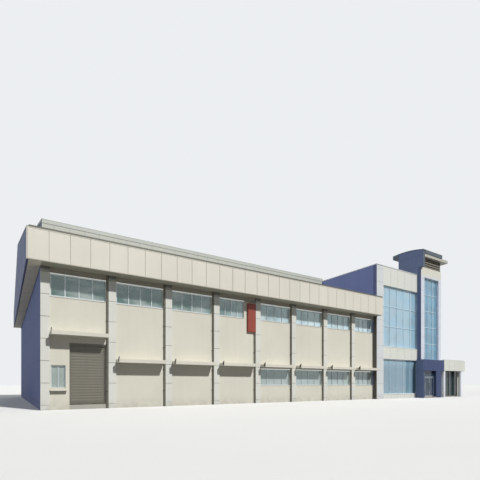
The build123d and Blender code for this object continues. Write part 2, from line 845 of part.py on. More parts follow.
save("office_side_walls", *office_side_walls())
save("office_piers", *office_piers())
save("office_bands", *office_bands())
save("office_floors", *office_floors())
save("office_roof", office_slab(office_roof_z - office_roof_t, office_roof_z, tower_in_x))
curtain_frames, curtain_glass = curtain_walls()
save("curtain_wall_frames", *curtain_frames)
save("curtain_wall_glass", *curtain_glass)

save("tower_front_wall", tower_front_wall())
save("tower_side_walls", *tower_side_walls())
save("tower_back_wall", tower_back_wall())
save("tower_vent_band", vent_band())
save("tower_canopy", tower_canopy())
save("tower_roof", tower_roof())

save("entrance_portal", portal())
save("entrance_frame", entrance_frame())
save("entrance_glass", *entrance_glass())
save("left_door_leaf", door_leaf(False))
save("left_door_glass", door_glass(False))
save("right_door_leaf", door_leaf(True))
save("right_door_glass", door_glass(True))

save("porch_roof", porch_roof())
save("porch_columns", *porch_columns())
save("wing_walls", wing_walls())
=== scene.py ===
import logging
import math
from dataclasses import dataclass
from enum import Enum
from typing import Callable, Sequence

import bmesh
import bpy
from mathutils import Matrix, Vector


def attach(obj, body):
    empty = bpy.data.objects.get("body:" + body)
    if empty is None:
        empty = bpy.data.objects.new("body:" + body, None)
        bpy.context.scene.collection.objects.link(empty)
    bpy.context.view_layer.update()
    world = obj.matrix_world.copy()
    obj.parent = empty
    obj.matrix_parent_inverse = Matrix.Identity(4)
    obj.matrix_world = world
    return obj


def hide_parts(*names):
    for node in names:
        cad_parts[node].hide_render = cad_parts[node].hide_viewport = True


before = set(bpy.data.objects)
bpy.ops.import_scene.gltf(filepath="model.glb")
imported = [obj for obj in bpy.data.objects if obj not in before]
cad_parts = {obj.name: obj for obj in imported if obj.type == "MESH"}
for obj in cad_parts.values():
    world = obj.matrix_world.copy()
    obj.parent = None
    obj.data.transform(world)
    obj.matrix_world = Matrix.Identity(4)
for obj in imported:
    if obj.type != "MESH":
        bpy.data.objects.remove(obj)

LOG = logging.getLogger("factory_building")

Point = tuple[float, float, float]
Colour = tuple[float, float, float]
Piece = bpy.types.Object
Socket = bpy.types.NodeSocket
Material = bpy.types.Material

# The building's own grid starts at the hall's front left corner on the ground, in model metres.
# ORIGIN is the bottom centre of the whole building on that grid.
ORIGIN = Vector((10.6475, 6.395, 0.0))
HALL_DEPTH = 12.9
BUILDING = "building"
# A face looks towards a side when its normal is this much along it.
FLAT = 0.9
SMOOTH_ANGLE = 35
# Two places this near to each other are one.
TINY = 1e-4


class Facing(Enum):
    """The side that a face looks towards."""

    LEFT = (-1.0, 0.0, 0.0)
    FRONT = (0.0, -1.0, 0.0)
    REAR = (0.0, 1.0, 0.0)
    DOWN = (0.0, 0.0, -1.0)
    UP = (0.0, 0.0, 1.0)


LEFT, FRONT, REAR, DOWN, UP = Facing


class Axis(Enum):
    """A direction of the row's frame, by its place in a vector."""

    X = 0
    Y = 1
    Z = 2


X, Y, Z = Axis


def paint(red: int, green: int, blue: int) -> Colour:
    """Turn a colour chart's values from 0 to 255 into linear light."""
    return tuple(((c / 255 + 0.055) / 1.055) ** 2.4 for c in (red, green, blue))


# Modelling

def clear_bench() -> None:
    """Leave edit mode, if a piece is still in it, and deselect everything."""
    if bpy.context.mode != "OBJECT":
        bpy.ops.object.mode_set(mode="OBJECT")
    bpy.ops.object.select_all(action="DESELECT")


class Bench:
    """One piece in edit mode, shaped step by step. Every place is on the building's grid.

    Each selection and each step returns the bench, so that they can follow one another.
    """

    def __init__(self, name: str, primitive: Callable[..., set[str]], **sizes: object) -> None:
        """Add a primitive with its size in its mesh, and select nothing of it.

        Args:
            name: The piece's name.
            primitive: The call that adds it.
            sizes: What that call gets.
        """
        clear_bench()
        primitive(**sizes)
        bpy.ops.object.transform_apply(location=True, rotation=True, scale=True)
        self.piece = bpy.context.active_object
        self.piece.name = self.piece.data.name = name
        bpy.ops.object.mode_set(mode="EDIT")
        bpy.ops.mesh.select_all(action="DESELECT")

    @classmethod
    def block(cls, name: str, low: Point, high: Point) -> "Bench":
        """Add a block from its lowest corner to its highest."""
        middle, size = (Vector(low) + Vector(high)) / 2 - ORIGIN, Vector(high) - Vector(low)
        return cls(name, bpy.ops.mesh.primitive_cube_add, size=1.0, location=middle, scale=size)

    @classmethod
    def round(cls, name: str, foot: Point, radius: float, depth: float, sides: int) -> "Bench":
        """Add an upright round bar on the middle of its lower end, with a number of flat sides."""
        middle = Vector(foot) + Vector((0, 0, depth / 2)) - ORIGIN
        return cls(name, bpy.ops.mesh.primitive_cylinder_add, vertices=sides, radius=radius, depth=depth,
                   location=middle)

    def pick(self, kind: str, want: Callable[..., bool]) -> "Bench":
        """Select by a test.

        Args:
            kind: FACE or EDGE.
            want: A test of a face's middle and its normal, or of an edge's two ends.

        Returns:
            The bench.
        """
        bpy.ops.mesh.select_all(action="DESELECT")
        bpy.ops.mesh.select_mode(type=kind)
        mesh = bmesh.from_edit_mesh(self.piece.data)
        if kind == "FACE":
            for face in mesh.faces:
                face.select_set(want(face.calc_center_median() + ORIGIN, face.normal))
        else:
            for edge in mesh.edges:
                edge.select_set(want(edge.verts[0].co + ORIGIN, edge.verts[1].co + ORIGIN))
        bmesh.update_edit_mesh(self.piece.data)
        return self

    def edges(self, want: Callable[[Vector, Vector], bool]) -> "Bench":
        """Select the edges whose two ends pass a test."""
        return self.pick("EDGE", want)

    def toward(self, side: Facing, where: Callable[[Vector], bool] = lambda middle: True) -> "Bench":
        """Select the faces that look towards a side and whose middle passes a test."""
        return self.pick("FACE", lambda m, n: n.dot(Vector(side.value)) > FLAT and where(m))

    def do(self, step: Callable[..., set[str]], **sizes: object) -> "Bench":
        """Take one modelling step."""
        step(**sizes)
        return self

    def whole(self) -> "Bench":
        """Select the whole piece."""
        return self.do(bpy.ops.mesh.select_all, action="SELECT")

    def inset(self, width: float) -> "Bench":
        """Inset the selected faces as one region."""
        return self.do(bpy.ops.mesh.inset, thickness=width, depth=0.0)

    def push(self, move: Point) -> "Bench":
        """Extrude the selected faces along a move."""
        return self.do(bpy.ops.mesh.extrude_region_move, TRANSFORM_OT_translate={"value": move})

    def press(self, side: Facing, border: float, depth: float) -> "Bench":
        """Press a panel into a side within a border, or raise it where the depth is below zero."""
        return self.toward(side).inset(border).push(tuple(-depth * part for part in side.value))

    def slide(self, move: Point) -> "Bench":
        """Move the selection."""
        return self.do(bpy.ops.transform.translate, value=move)

    def swell(self, share: float) -> "Bench":
        """Scale the selection about its own middle, with its height kept."""
        return self.do(bpy.ops.transform.resize, value=(share, share, 1.0))

    def bevel(self, width: float, segments: int = 1) -> "Bench":
        """Bevel the selected edges."""
        return self.do(bpy.ops.mesh.bevel, offset=width, segments=segments, affect="EDGES",
                       clamp_overlap=True)

    def slice(self, point: Point, normal: Point, drop: bool = False) -> "Bench":
        """Cut the whole piece along a plane, and drop what its normal points to where that is asked."""
        return self.whole().do(bpy.ops.mesh.bisect, plane_co=Vector(point) - ORIGIN, plane_no=normal,
                               use_fill=drop, clear_outer=drop)

    def across(self, axis: Axis, *places: float) -> "Bench":
        """Cut the whole piece square to an axis.

        Args:
            axis: The axis.
            places: Where along it each cut goes.

        Returns:
            The bench.
        """
        normal = tuple(float(number == axis.value) for number in range(3))
        for place in places:
            self.slice(tuple(place * part for part in normal), normal)
        return self

    def done(self) -> Piece:
        """Leave edit mode and hand over the piece."""
        clear_bench()
        return self.piece


def joined(name: str, pieces: Sequence[Piece]) -> Piece:
    """Join pieces into one.

    Args:
        name: The name of the joined piece.
        pieces: The pieces.

    Returns:
        The joined piece.
    """
    clear_bench()
    for piece in pieces:
        piece.select_set(True)
    whole = bpy.context.view_layer.objects.active = pieces[0]
    if len(pieces) > 1:
        bpy.ops.object.join()
    whole.name = whole.data.name = name
    whole.select_set(False)
    return whole


def copied(piece: Piece, move: Matrix) -> Piece:
    """Copy a piece with its own mesh, and turn the faces of a mirror image back out.

    Args:
        piece: The piece to copy.
        move: Where the copy goes, from where the piece is.

    Returns:
        The copy.
    """
    twin = piece.copy()
    twin.data = piece.data.copy()
    bpy.context.scene.collection.objects.link(twin)
    twin.data.transform(move)
    if move.determinant() < 0:
        twin.data.flip_normals()
    return twin


def steps(step: Point, count: int, first: int = 0) -> list[Point]:
    """The moves to evenly spaced copies."""
    return [tuple(part * number for part in step) for number in range(first, first + count)]


def repeated(name: str, piece: Piece, moves: Sequence[Point]) -> Piece:
    """Copy a piece along each move and join the copies, without the first one.

    Args:
        name: The name of the joined piece.
        piece: The piece that is repeated.
        moves: The copies' places, from where the piece is.

    Returns:
        The joined copies.
    """
    copies = [copied(piece, Matrix.Translation(move)) for move in moves]
    bpy.data.objects.remove(piece)
    return joined(name, copies)


def mirrored(name: str, piece: Piece) -> Piece:
    """Copy a piece of the hall's front to the hall's back, as its mirror image.

    Args:
        name: The copy's name.
        piece: The piece at the front, which stays.

    Returns:
        The copy.
    """
    middle = Vector((0, HALL_DEPTH / 2 - ORIGIN.y, 0))
    mirror = Matrix.Translation(middle) @ Matrix.Scale(-1, 4, (0, 1, 0)) @ Matrix.Translation(-middle)
    twin = copied(piece, mirror)
    twin.name = name
    return twin


def at_the_back(name: str, piece: Piece) -> Piece:
    """Move a piece of the hall's front to the hall's back, as its mirror image.

    Args:
        name: The name of what stands at the back.
        piece: The piece at the front, which goes.

    Returns:
        The piece at the back.
    """
    twin = mirrored(name, piece)
    bpy.data.objects.remove(piece)
    return twin


def both_sides(name: str, pieces: Sequence[Piece]) -> Piece:
    """Join pieces of the hall's front, with their mirror images at the back."""
    row = joined(name, pieces)
    return joined(name, [row, mirrored("back", row)])


def ring(name: str, low: Point, high: Point, width: float, soft: float) -> Piece:
    """An upright rectangular frame that faces the front.

    Args:
        name: The piece's name.
        low: The frame's lowest corner.
        high: The frame's highest corner.
        width: How wide its bars are.
        soft: The bevel of its front edges.

    Returns:
        The frame.
    """
    bench = Bench.block(name, low, high)
    bench.pick("FACE", lambda m, n: abs(n.y) > FLAT).inset(width)
    half = width / 2
    bench.pick("FACE", lambda m, n: abs(n.y) > FLAT and low[0] + half < m.x < high[0] - half
               and low[2] + half < m.z < high[2] - half)
    bpy.ops.mesh.bridge_edge_loops()
    return bench.edges(lambda a, b: max(a.y, b.y) < low[1] + 1e-5).bevel(soft).done()


def bar(name: str, low: Point, high: Point, soft: float, segments: int = 1) -> Piece:
    """A block with all its edges softened."""
    return Bench.block(name, low, high).whole().bevel(soft, segments).done()


def within(a: Vector, b: Vector, *planes: tuple[Axis, float]) -> bool:
    """Whether an edge from a to b lies in one of the planes, each given by its axis and its place."""
    return any(max(abs(a[axis.value] - place), abs(b[axis.value] - place)) < TINY for axis, place in planes)


def seen_rays(tree: bpy.types.NodeTree) -> Socket:
    """Mark with 1 the rays from the camera and those that gloss and glass pass on.

    Args:
        tree: The nodes that get the mark.

    Returns:
        The socket with the mark.
    """
    path = tree.nodes.new("ShaderNodeLightPath")
    seen = path.outputs["Is Camera Ray"]
    for name in ("Is Glossy Ray", "Is Transmission Ray"):
        either = tree.nodes.new("ShaderNodeMath")
        either.operation = "MAXIMUM"
        tree.links.new(seen, either.inputs[0])
        tree.links.new(path.outputs[name], either.inputs[1])
        seen = either.outputs[0]
    return seen


# Finishes

class Wiring:
    """A material's nodes, with a short call for each kind. A number or a socket fits wherever one goes."""

    def __init__(self, name: str) -> None:
        """Start a material with one surface shader.

        Args:
            name: The material's name.
        """
        self.material = bpy.data.materials.new(name)
        self.material.use_nodes = True
        self.tree = self.material.node_tree
        self.tree.nodes.clear()
        self.shader = self.add("ShaderNodeBsdfPrincipled")
        self.tree.links.new(self.shader.outputs[0], self.add("ShaderNodeOutputMaterial").inputs[0])
        self.place = self.add("ShaderNodeTexCoord").outputs["Object"]
        self.along = self.add("ShaderNodeSeparateXYZ", self.place).outputs

    def add(self, kind: str, *values: object) -> bpy.types.Node:
        """Add a node.

        Args:
            kind: Blender's name for the kind of node.
            values: What its first sockets get.

        Returns:
            The node.
        """
        node = self.tree.nodes.new(kind)
        for value, socket in zip(values, node.inputs):
            self.plug(value, socket)
        return node

    def plug(self, value: object, socket: Socket) -> None:
        """Give a socket a value, or link another socket to it.

        Args:
            value: A number, a colour, a vector or the other socket.
            socket: The socket that gets it.
        """
        if isinstance(value, bpy.types.NodeSocket):
            self.tree.links.new(value, socket)
        elif isinstance(value, tuple):
            socket.default_value = (*value, 1.0)[:len(socket.default_value)]
        else:
            socket.default_value = value

    def sum(self, operation: str, first: object, second: object = 0.0) -> Socket:
        """Work out a number from two others.

        Args:
            operation: Blender's name for the kind of sum.
            first: The first number or socket.
            second: The second one.

        Returns:
            The socket with the answer.
        """
        node = self.add("ShaderNodeMath", first, second)
        node.operation = operation
        return node.outputs[0]

    def noise(self, scale: float, detail: float = 3.0, stretch: Point = (1.0, 1.0, 1.0)) -> Socket:
        """Uneven grey near 0.5, in waves a metre with finer layers, scaled along each direction."""
        mapping = self.add("ShaderNodeMapping", self.place, (0.0, 0.0, 0.0), (0.0, 0.0, 0.0), stretch)
        return self.add("ShaderNodeTexNoise", mapping.outputs[0], 0.0, scale, detail).outputs["Fac"]

    def ramp(self, value: Socket, start: float, end: float, low: float = 0.0, high: float = 1.0) -> Socket:
        """Turn one range of a number, from start to end, into another, from low to high."""
        return self.add("ShaderNodeMapRange", value, start, end, low, high).outputs[0]

    def run(self, axis: Axis, start: float, end: float, low: float = 0.0, high: float = 1.0) -> Socket:
        """Change a number from low to high between two places on the building's grid."""
        middle = ORIGIN[axis.value]
        return self.ramp(self.along[axis.value], start - middle, end - middle, low, high)

    def spots(self, scale: float, detail: float, start: float, end: float, high: float = 1.0,
              stretch: Point = (1.0, 1.0, 1.0)) -> Socket:
        """Soft spots that rise to a high number where an uneven grey goes from start to end."""
        return self.ramp(self.noise(scale, detail, stretch), start, end, 0.0, high)

    def blend(self, amount: object, first: object, second: object) -> Socket:
        """Mix two colours.

        Args:
            amount: How much of the second one, from 0 to 1.
            first: The first colour.
            second: The second colour.

        Returns:
            The socket with the mixed colour.
        """
        node = self.add("ShaderNodeMix", amount)
        node.data_type = "RGBA"
        self.plug(first, node.inputs[6])
        self.plug(second, node.inputs[7])
        return node.outputs[2]

    def darken(self, colour: Socket, mask: Socket, share: float, dark: Colour) -> Socket:
        """Blend a share of a dark colour in where a mask is 1."""
        return self.blend(self.sum("MULTIPLY", mask, share), colour, dark)

    def bump(self, height: Socket, depth: float, below: Socket | None = None) -> Socket:
        """Raise or sink the surface's light.

        Args:
            height: The height, from 0 to 1.
            depth: How deep that is, in metres.
            below: The bump under this one, if there is one.

        Returns:
            The socket with the new normal.
        """
        node = self.add("ShaderNodeBump")
        node.inputs["Distance"].default_value = depth
        self.plug(height, node.inputs["Height"])
        if below:
            self.plug(below, node.inputs["Normal"])
        return node.outputs[0]

    def finished(self, colour: object, roughness: object, normal: Socket, **others: object) -> Material:
        """Plug the answers into the shader.

        Args:
            colour: The surface's colour.
            roughness: Its roughness.
            normal: Its normal.
            others: Any other values, by the shader's own names with a line for each space.

        Returns:
            The finished material.
        """
        values = {"Base_Color": colour, "Roughness": roughness, "Normal": normal, **others}
        for name, value in values.items():
            self.plug(value, self.shader.inputs[name.replace("_", " ")])
        return self.material




@dataclass(frozen=True)
class Joints:
    """Straight joints across a surface at even steps."""

    axis: Axis
    pitch: float
    start: float
    width: float = 0.008

    def count(self, wiring: Wiring) -> Socket:
        """Count the steps from the first joint, with the share of the last one."""
        place = wiring.sum("SUBTRACT", wiring.along[self.axis.value], self.start - ORIGIN[self.axis.value])
        return wiring.sum("DIVIDE", place, self.pitch)

    def mask(self, wiring: Wiring) -> Socket:
        """Mark the joints with 1 and the rest with 0.

        Args:
            wiring: The material's nodes.

        Returns:
            The socket with the mark.
        """
        share = wiring.sum("FRACT", self.count(wiring))
        near = wiring.sum("MINIMUM", share, wiring.sum("SUBTRACT", 1.0, share))
        half = self.width / 2 / self.pitch
        return wiring.ramp(near, half * 0.6, half * 1.3, 1.0, 0.0)

    def tone(self, wiring: Wiring, high: float) -> Socket:
        """A grey of its own for each panel between the joints.

        Args:
            wiring: The material's nodes.
            high: The palest grey.

        Returns:
            The socket with the grey, from 0 to the palest.
        """
        node = wiring.add("ShaderNodeTexWhiteNoise")
        node.noise_dimensions = "1D"
        wiring.plug(wiring.sum("FLOOR", self.count(wiring)), node.inputs["W"])
        return wiring.ramp(node.outputs["Value"], 0.0, 1.0, 0.0, high)


def shaded(colour: Colour, share: float) -> Colour:
    """Make a colour lighter or darker by a share."""
    return tuple(min(1.0, part * share) for part in colour)


@dataclass(frozen=True)
class Coat:
    """A painted, rendered or coated surface."""

    name: str
    colour: Colour
    roughness: float = 0.75
    metallic: float = 0.0
    grain: tuple[float, float] = (90.0, 0.0012)
    mottling: float = 0.05
    streaks: float = 0.06
    foot_dirt: float = 0.0
    joints: tuple[Joints, ...] = ()
    joint_shade: float = 0.45
    panel_tone: float = 0.0
    # A colour towards the top; on the pilasters it is painted shade under the eaves.
    top: tuple[float, float] | None = None
    top_colour: Colour = (0.0, 0.0, 0.0)
    ends: tuple[float, float] | None = None
    end_axis: Axis = X
    end_colour: Colour = (0.0, 0.0, 0.0)
    # A darker colour for the end faces below z 4.2, which is painted shade.
    end_shade_below: Colour | None = None
    gloss: float = 0.5
    nodes: str = ""

    def build(self) -> Material:
        """Make the material.

        Returns:
            The material, with its mottling, rain streaks, foot dirt, joints and grain, and its top and end
            colours, some of them painted light and shade.
        """
        wiring = Wiring(self.name)
        uneven = wiring.spots(0.9, 5.0, 0.3, 0.7)
        colour = wiring.blend(uneven, shaded(self.colour, 1 - self.mottling),
                              shaded(self.colour, 1 + self.mottling * 0.6))
        # The colour changes towards the top; on the pilasters this is painted shade.
        if self.top:
            colour = wiring.blend(wiring.run(Z, *self.top), colour, self.top_colour)
        # The end faces take a colour of their own; the portal's lighter end colour is painted light.
        if self.ends:
            low, high = self.ends
            before = wiring.run(self.end_axis, low, low + 0.002, 1.0, 0.0)
            after = wiring.run(self.end_axis, high - 0.002, high)
            # Below z 4.2 to 4.3 the end faces may take the darker colour, which is painted shade.
            end = wiring.blend(wiring.run(Z, 4.2, 4.3), self.end_shade_below or self.end_colour, self.end_colour)
            colour = wiring.blend(wiring.sum("MAXIMUM", before, after), colour, end)
        if self.panel_tone:
            tone = self.joints[0].tone(wiring, self.panel_tone)
            colour = wiring.blend(tone, colour, shaded(self.colour, 0.7))
        rain = wiring.spots(1.0, 4.0, 0.5, 0.75, self.streaks, (7.0, 7.0, 0.35))
        colour = wiring.blend(rain, colour, shaded(self.colour, 0.55))
        if self.foot_dirt:
            patchy = wiring.sum("MULTIPLY", wiring.run(Z, 0.0, 0.32, 1.0, 0.0),
                                wiring.spots(5.0, 4.0, 0.3, 0.65))
            colour = wiring.darken(colour, patchy, self.foot_dirt, paint(112, 104, 92))
        scale, depth = self.grain
        normal = wiring.bump(wiring.noise(scale), depth)
        for joints in self.joints:
            mask = joints.mask(wiring)
            colour = wiring.darken(colour, mask, self.joint_shade, shaded(self.colour, 0.15))
            normal = wiring.bump(wiring.sum("SUBTRACT", 1.0, mask), 0.006, normal)
        roughness = wiring.ramp(uneven, 0.0, 1.0, self.roughness - 0.05, self.roughness + 0.05)
        return wiring.finished(colour, roughness, normal, Metallic=self.metallic,
                               Specular_IOR_Level=self.gloss)


@dataclass(frozen=True)
class Glazing:
    """Coated window glass with painted reflections: soft cloudy patches, and one colour near its start and
    another at its end.

    The glass beyond a place along X is duller and has a colour of its own.
    """

    name: str
    near: Colour
    far: Colour
    start: float
    end: float
    reflection_patches: float = 0.35
    clear: float = 0.3
    bend: float = 1.52
    tint: Colour = (1.0, 1.0, 1.0)
    low_reflection: Colour | None = None
    beyond: float | None = None
    beyond_colour: Colour = (0.0, 0.0, 0.0)
    nodes: str = ""

    def build(self) -> Material:
        """Make the material.

        Returns:
            The material, a smooth coated glass with painted reflections.
        """
        wiring = Wiring(self.name)
        # Painted reflection: one colour near the start and another at the end, along X.
        colour = wiring.blend(wiring.run(X, self.start, self.end), self.near, self.far)
        # Painted reflections: pale and dark cloudy patches.
        drift = wiring.spots(1.1, 4.0, 0.42, 0.62, self.reflection_patches, (1.0, 1.0, 2.2))
        colour = wiring.blend(drift, colour, shaded(self.far, 1.9))
        dim = wiring.spots(2.3, 3.0, 0.5, 0.7, self.reflection_patches, (1.0, 1.0, 0.5))
        colour = wiring.blend(dim, colour, shaded(self.near, 0.45))
        gloss = 0.5
        # Painted reflection on the lower glass, below z 2.3.
        if self.low_reflection:
            colour = wiring.blend(wiring.run(Z, 1.5, 2.3, 0.75, 0.0), colour, self.low_reflection)
        if self.beyond:
            past = wiring.run(X, self.beyond, self.beyond + 0.02)
            colour = wiring.blend(past, colour, self.beyond_colour)
            gloss = wiring.ramp(past, 0.0, 1.0, gloss, 0.2)
        return wiring.finished(colour, 0.04, wiring.bump(wiring.noise(1.7, 2.0), 0.004), IOR=self.bend,
                               Transmission_Weight=self.clear, Specular_IOR_Level=gloss,
                               Specular_Tint=self.tint)


@dataclass(frozen=True)
class Lining:
    """Narrow boards of coated metal under the eaves, with a groove at each board's edge."""

    name: str
    colour: Colour
    gable_painted_light: Colour
    board: float = 0.1
    nodes: str = ""

    def build(self) -> Material:
        """Make the material.

        Returns:
            The material, with its boards, their own tones and dust, and a paler colour under the gable that
            is painted light.
        """
        wiring = Wiring(self.name)
        boards = Joints(Y, self.board, 0.0, 0.007)
        # Painted light: left of x 0, under the gable, the lining takes a much paler colour that stands in
        # for light in its shade.
        colour = wiring.blend(wiring.run(X, -0.02, 0.02), self.gable_painted_light, self.colour)
        colour = wiring.blend(boards.tone(wiring, 0.16), colour, shaded(self.colour, 0.8))
        colour = wiring.blend(wiring.spots(1.6, 5.0, 0.45, 0.7, 0.2), colour, shaded(self.colour, 1.25))
        mask = boards.mask(wiring)
        colour = wiring.darken(colour, mask, 0.6, shaded(self.colour, 0.25))
        return wiring.finished(colour, 0.6, wiring.bump(wiring.sum("SUBTRACT", 1.0, mask), 0.005))


@dataclass(frozen=True)
class Bare:
    """Bare or anodised metal with a fine grain, and a colour of its own beyond a place along X."""

    name: str
    colour: Colour
    roughness: float
    metallic: float
    beyond: float | None = None
    beyond_colour: Colour = (0.0, 0.0, 0.0)
    nodes: str = ""

    def build(self) -> Material:
        """Make the material.

        Returns:
            The material, with its drawn grain and a few duller patches.
        """
        wiring = Wiring(self.name)
        grain = wiring.noise(1.0, 3.0, (140.0, 140.0, 3.0))
        patches = wiring.spots(4.0, 4.0, 0.45, 0.7, 0.25)
        colour = wiring.blend(patches, self.colour, shaded(self.colour, 0.72))
        if self.beyond:
            past = wiring.run(X, self.beyond, self.beyond + 0.02)
            colour = wiring.blend(past, colour, self.beyond_colour)
        roughness = wiring.ramp(grain, 0.3, 0.7, self.roughness - 0.06, self.roughness + 0.08)
        return wiring.finished(colour, roughness, wiring.bump(grain, 0.0004), Metallic=self.metallic)


@dataclass(frozen=True)
class Rubber:
    """Black rubber of seals, matt with a dusty grain."""

    name: str
    colour: Colour = paint(34, 34, 36)
    nodes: str = ""

    def build(self) -> Material:
        """Make the material."""
        wiring = Wiring(self.name)
        colour = wiring.blend(wiring.spots(9.0, 5.0, 0.45, 0.75, 0.4), self.colour, paint(96, 92, 86))
        return wiring.finished(colour, 0.85, wiring.bump(wiring.noise(240.0, 2.0), 0.0008))


# The grain of flat and of folded coated sheet, as its scale and its depth, and joints that repeat.
SHEET = (30.0, 0.0004)
FOLDED = (40.0, 0.0003)
PILASTER_JOINTS = (Joints(Z, 0.615, 0.75, 0.012),)
FLOOR_JOINTS = (Joints(X, 3.6, 0.0, 0.012), Joints(Y, 3.2, 0.0, 0.012))
PANEL_PITCH = 0.52161
HALL_LEFT = -0.355


class Finish(Enum):
    """Every finish of the building, with the built pieces that wear it."""

    HALL_WALL = Coat("hall_wall_paint", paint(214, 211, 198), 0.85, foot_dirt=0.28, streaks=0.07,
                     nodes="hall_front_wall dock_wall hall_back_wall hall_piers wing_walls")
    # The head beams' darker colour is painted shade under the eaves.
    SHADED_HEAD_BEAM = Coat("head_beam_painted_shade", paint(172, 166, 152), 0.85, streaks=0.07,
                     nodes="hall_head_beams")
    END_WALL = Coat("end_wall_blue", paint(82, 93, 131), 0.8, streaks=0.12, foot_dirt=0.3, gloss=0.3,
                    joints=(Joints(Y, 1.8, 0.45, 0.014), Joints(Z, 1.2, 0.2, 0.014)),
                    joint_shade=0.4, panel_tone=0.08, nodes="hall_left_wall")
    OFFICE_BLUE = Coat("office_blue", paint(115, 127, 175), 0.7, streaks=0.1, joint_shade=0.4,
                       joints=(Joints(Y, 0.9, 0.0, 0.012),), panel_tone=0.1, nodes="office_side_walls")
    TOWER_BLUE = Coat("tower_blue", paint(104, 117, 151), 0.7, streaks=0.1, joints=PILASTER_JOINTS,
                      joint_shade=0.35, panel_tone=0.06, ends=(-0.515, 5.0), end_axis=Y,
                      end_colour=paint(82, 92, 102), nodes="tower_side_walls")
    # Painted shade: the top colour darkens the pilasters' tops under the eaves.
    PILASTER = Coat("pilaster_white", paint(214, 215, 208), foot_dirt=0.3, joints=PILASTER_JOINTS,
                    joint_shade=0.4, top=(3.8, 3.92), top_colour=paint(112, 110, 104),
                    nodes="pilasters")
    # The end colour is the blue paint of the pier's left side; its darker colour below z 4.2 is painted
    # shade.
    OFFICE_PIER = Coat("office_pier", paint(209, 213, 215), foot_dirt=0.3, joints=PILASTER_JOINTS,
                       joint_shade=0.3, ends=(14.2, 19.5), end_colour=paint(88, 98, 136),
                       end_shade_below=paint(86, 80, 76), nodes="office_piers")
    LEDGE = Coat("ledge_render", paint(214, 211, 199), 0.85, streaks=0.12, nodes="wall_ledges")
    CASSETTE = Coat("fascia_cassette", paint(218, 214, 202), 0.42, grain=SHEET, mottling=0.025,
                    streaks=0.09, joints=(Joints(X, PANEL_PITCH, HALL_LEFT, 0.002),),
                    joint_shade=0.0, panel_tone=0.05)
    CASSETTE_CORE = Coat("fascia_trim", paint(200, 196, 184), 0.5, grain=SHEET)
    BAND = Coat("office_band", paint(217, 219, 212), 0.45, grain=SHEET, mottling=0.03,
                nodes="office_bands")
    GABLE_CASSETTE = Coat("gable_cassette", paint(71, 82, 116), 0.6, grain=SHEET, gloss=0.3,
                          joints=(Joints(Y, 0.53077, -0.45, 0.002),), joint_shade=0.0, panel_tone=0.1,
                          nodes="monitor_end_walls")
    # The second, pale colour is painted light on the gable overhang's underside.
    SOFFIT = Lining("soffit_lining", paint(166, 164, 150), paint(244, 236, 212), nodes="eaves_soffits")
    ROOF_SHEET = Coat("roof_sheet", paint(158, 162, 162), 0.5, 0.25, grain=(4.0, 0.0006), mottling=0.08,
                      streaks=0.2, joints=(Joints(X, 0.25, 0.0, 0.004),), joint_shade=0.25,
                      panel_tone=0.1, nodes="front_roof_slope back_roof_slope monitor_roof")
    OFFICE_ROOF = Coat("roof_membrane", paint(150, 152, 150), 0.8, grain=(50.0, 0.002), mottling=0.12,
                       streaks=0.1, joints=(Joints(Y, 1.1, 0.0, 0.02),), joint_shade=0.2,
                       nodes="office_roof")
    MONITOR_WALL = Coat("monitor_wall", paint(178, 178, 168), 0.5, grain=(30.0, 0.0005), joint_shade=0.22,
                        joints=(Joints(X, PANEL_PITCH, HALL_LEFT, 0.01),), panel_tone=0.06,
                        top=(5.9, 6.45), top_colour=paint(184, 186, 177), nodes="monitor_side_walls")
    MONITOR_TRIM = Coat("monitor_trim", paint(182, 186, 178), 0.45, grain=FOLDED)
    GUTTER = Coat("gutter_metal", paint(92, 92, 84), 0.5, 0.3, grain=(60.0, 0.0003),
                  nodes="roof_gutters")
    SLATE = Coat("slate_metal", paint(82, 92, 102), 0.5, 0.2, grain=(40.0, 0.0006),
                 joints=(Joints(X, 0.3, 0.0, 0.006),), joint_shade=0.3, nodes="tower_roof")
    VENT = Coat("vent_brown", paint(106, 102, 92), 0.6, 0.1, grain=(60.0, 0.0005),
                nodes="tower_vent_band")
    CONCRETE = Coat("floor_concrete", paint(150, 147, 140), 0.8, grain=(70.0, 0.002), mottling=0.15,
                    joints=FLOOR_JOINTS, joint_shade=0.35, nodes="office_floors")
    HALL_FLOOR = Coat("hall_floor_concrete", paint(150, 147, 140), 0.8, grain=(70.0, 0.002),
                      mottling=0.15, joints=FLOOR_JOINTS, joint_shade=0.35, ends=(0.0, HALL_DEPTH),
                      end_axis=Y, end_colour=paint(206, 203, 191), nodes="hall_floor")
    SHUTTER = Coat("shutter_paint", paint(110, 107, 97), 0.5, 0.15, grain=(50.0, 0.0004), streaks=0.14,
                   foot_dirt=0.3, nodes="roller_shutter")
    SHUTTER_RAIL = Coat("shutter_rail", paint(104, 101, 93), 0.45, 0.3, grain=(50.0, 0.0003),
                        nodes="shutter_guides")
    RED = Coat("red_paint", paint(140, 60, 46), 0.45, grain=(60.0, 0.0004), streaks=0.12)
    # The pipe colour is darker than its paint: partly painted shade, for the shaded left sides of the
    # pilasters beside the pipes.
    PIPE = Coat("pipe_paint_and_shade", paint(104, 102, 90), 0.5, 0.1, grain=(60.0, 0.0004), streaks=0.15,
                nodes="downpipes")
    TOWER_WALL = Coat("tower_render", paint(210, 216, 228), 0.8, joints=PILASTER_JOINTS,
                      joint_shade=0.18, top=(6.3, 6.6), top_colour=paint(214, 212, 200),
                      ends=(17.59, 19.5), end_colour=paint(82, 93, 128),
                      nodes="tower_front_wall tower_back_wall")
    CANOPY = Coat("canopy_cream", paint(178, 177, 167), 0.5, grain=SHEET)
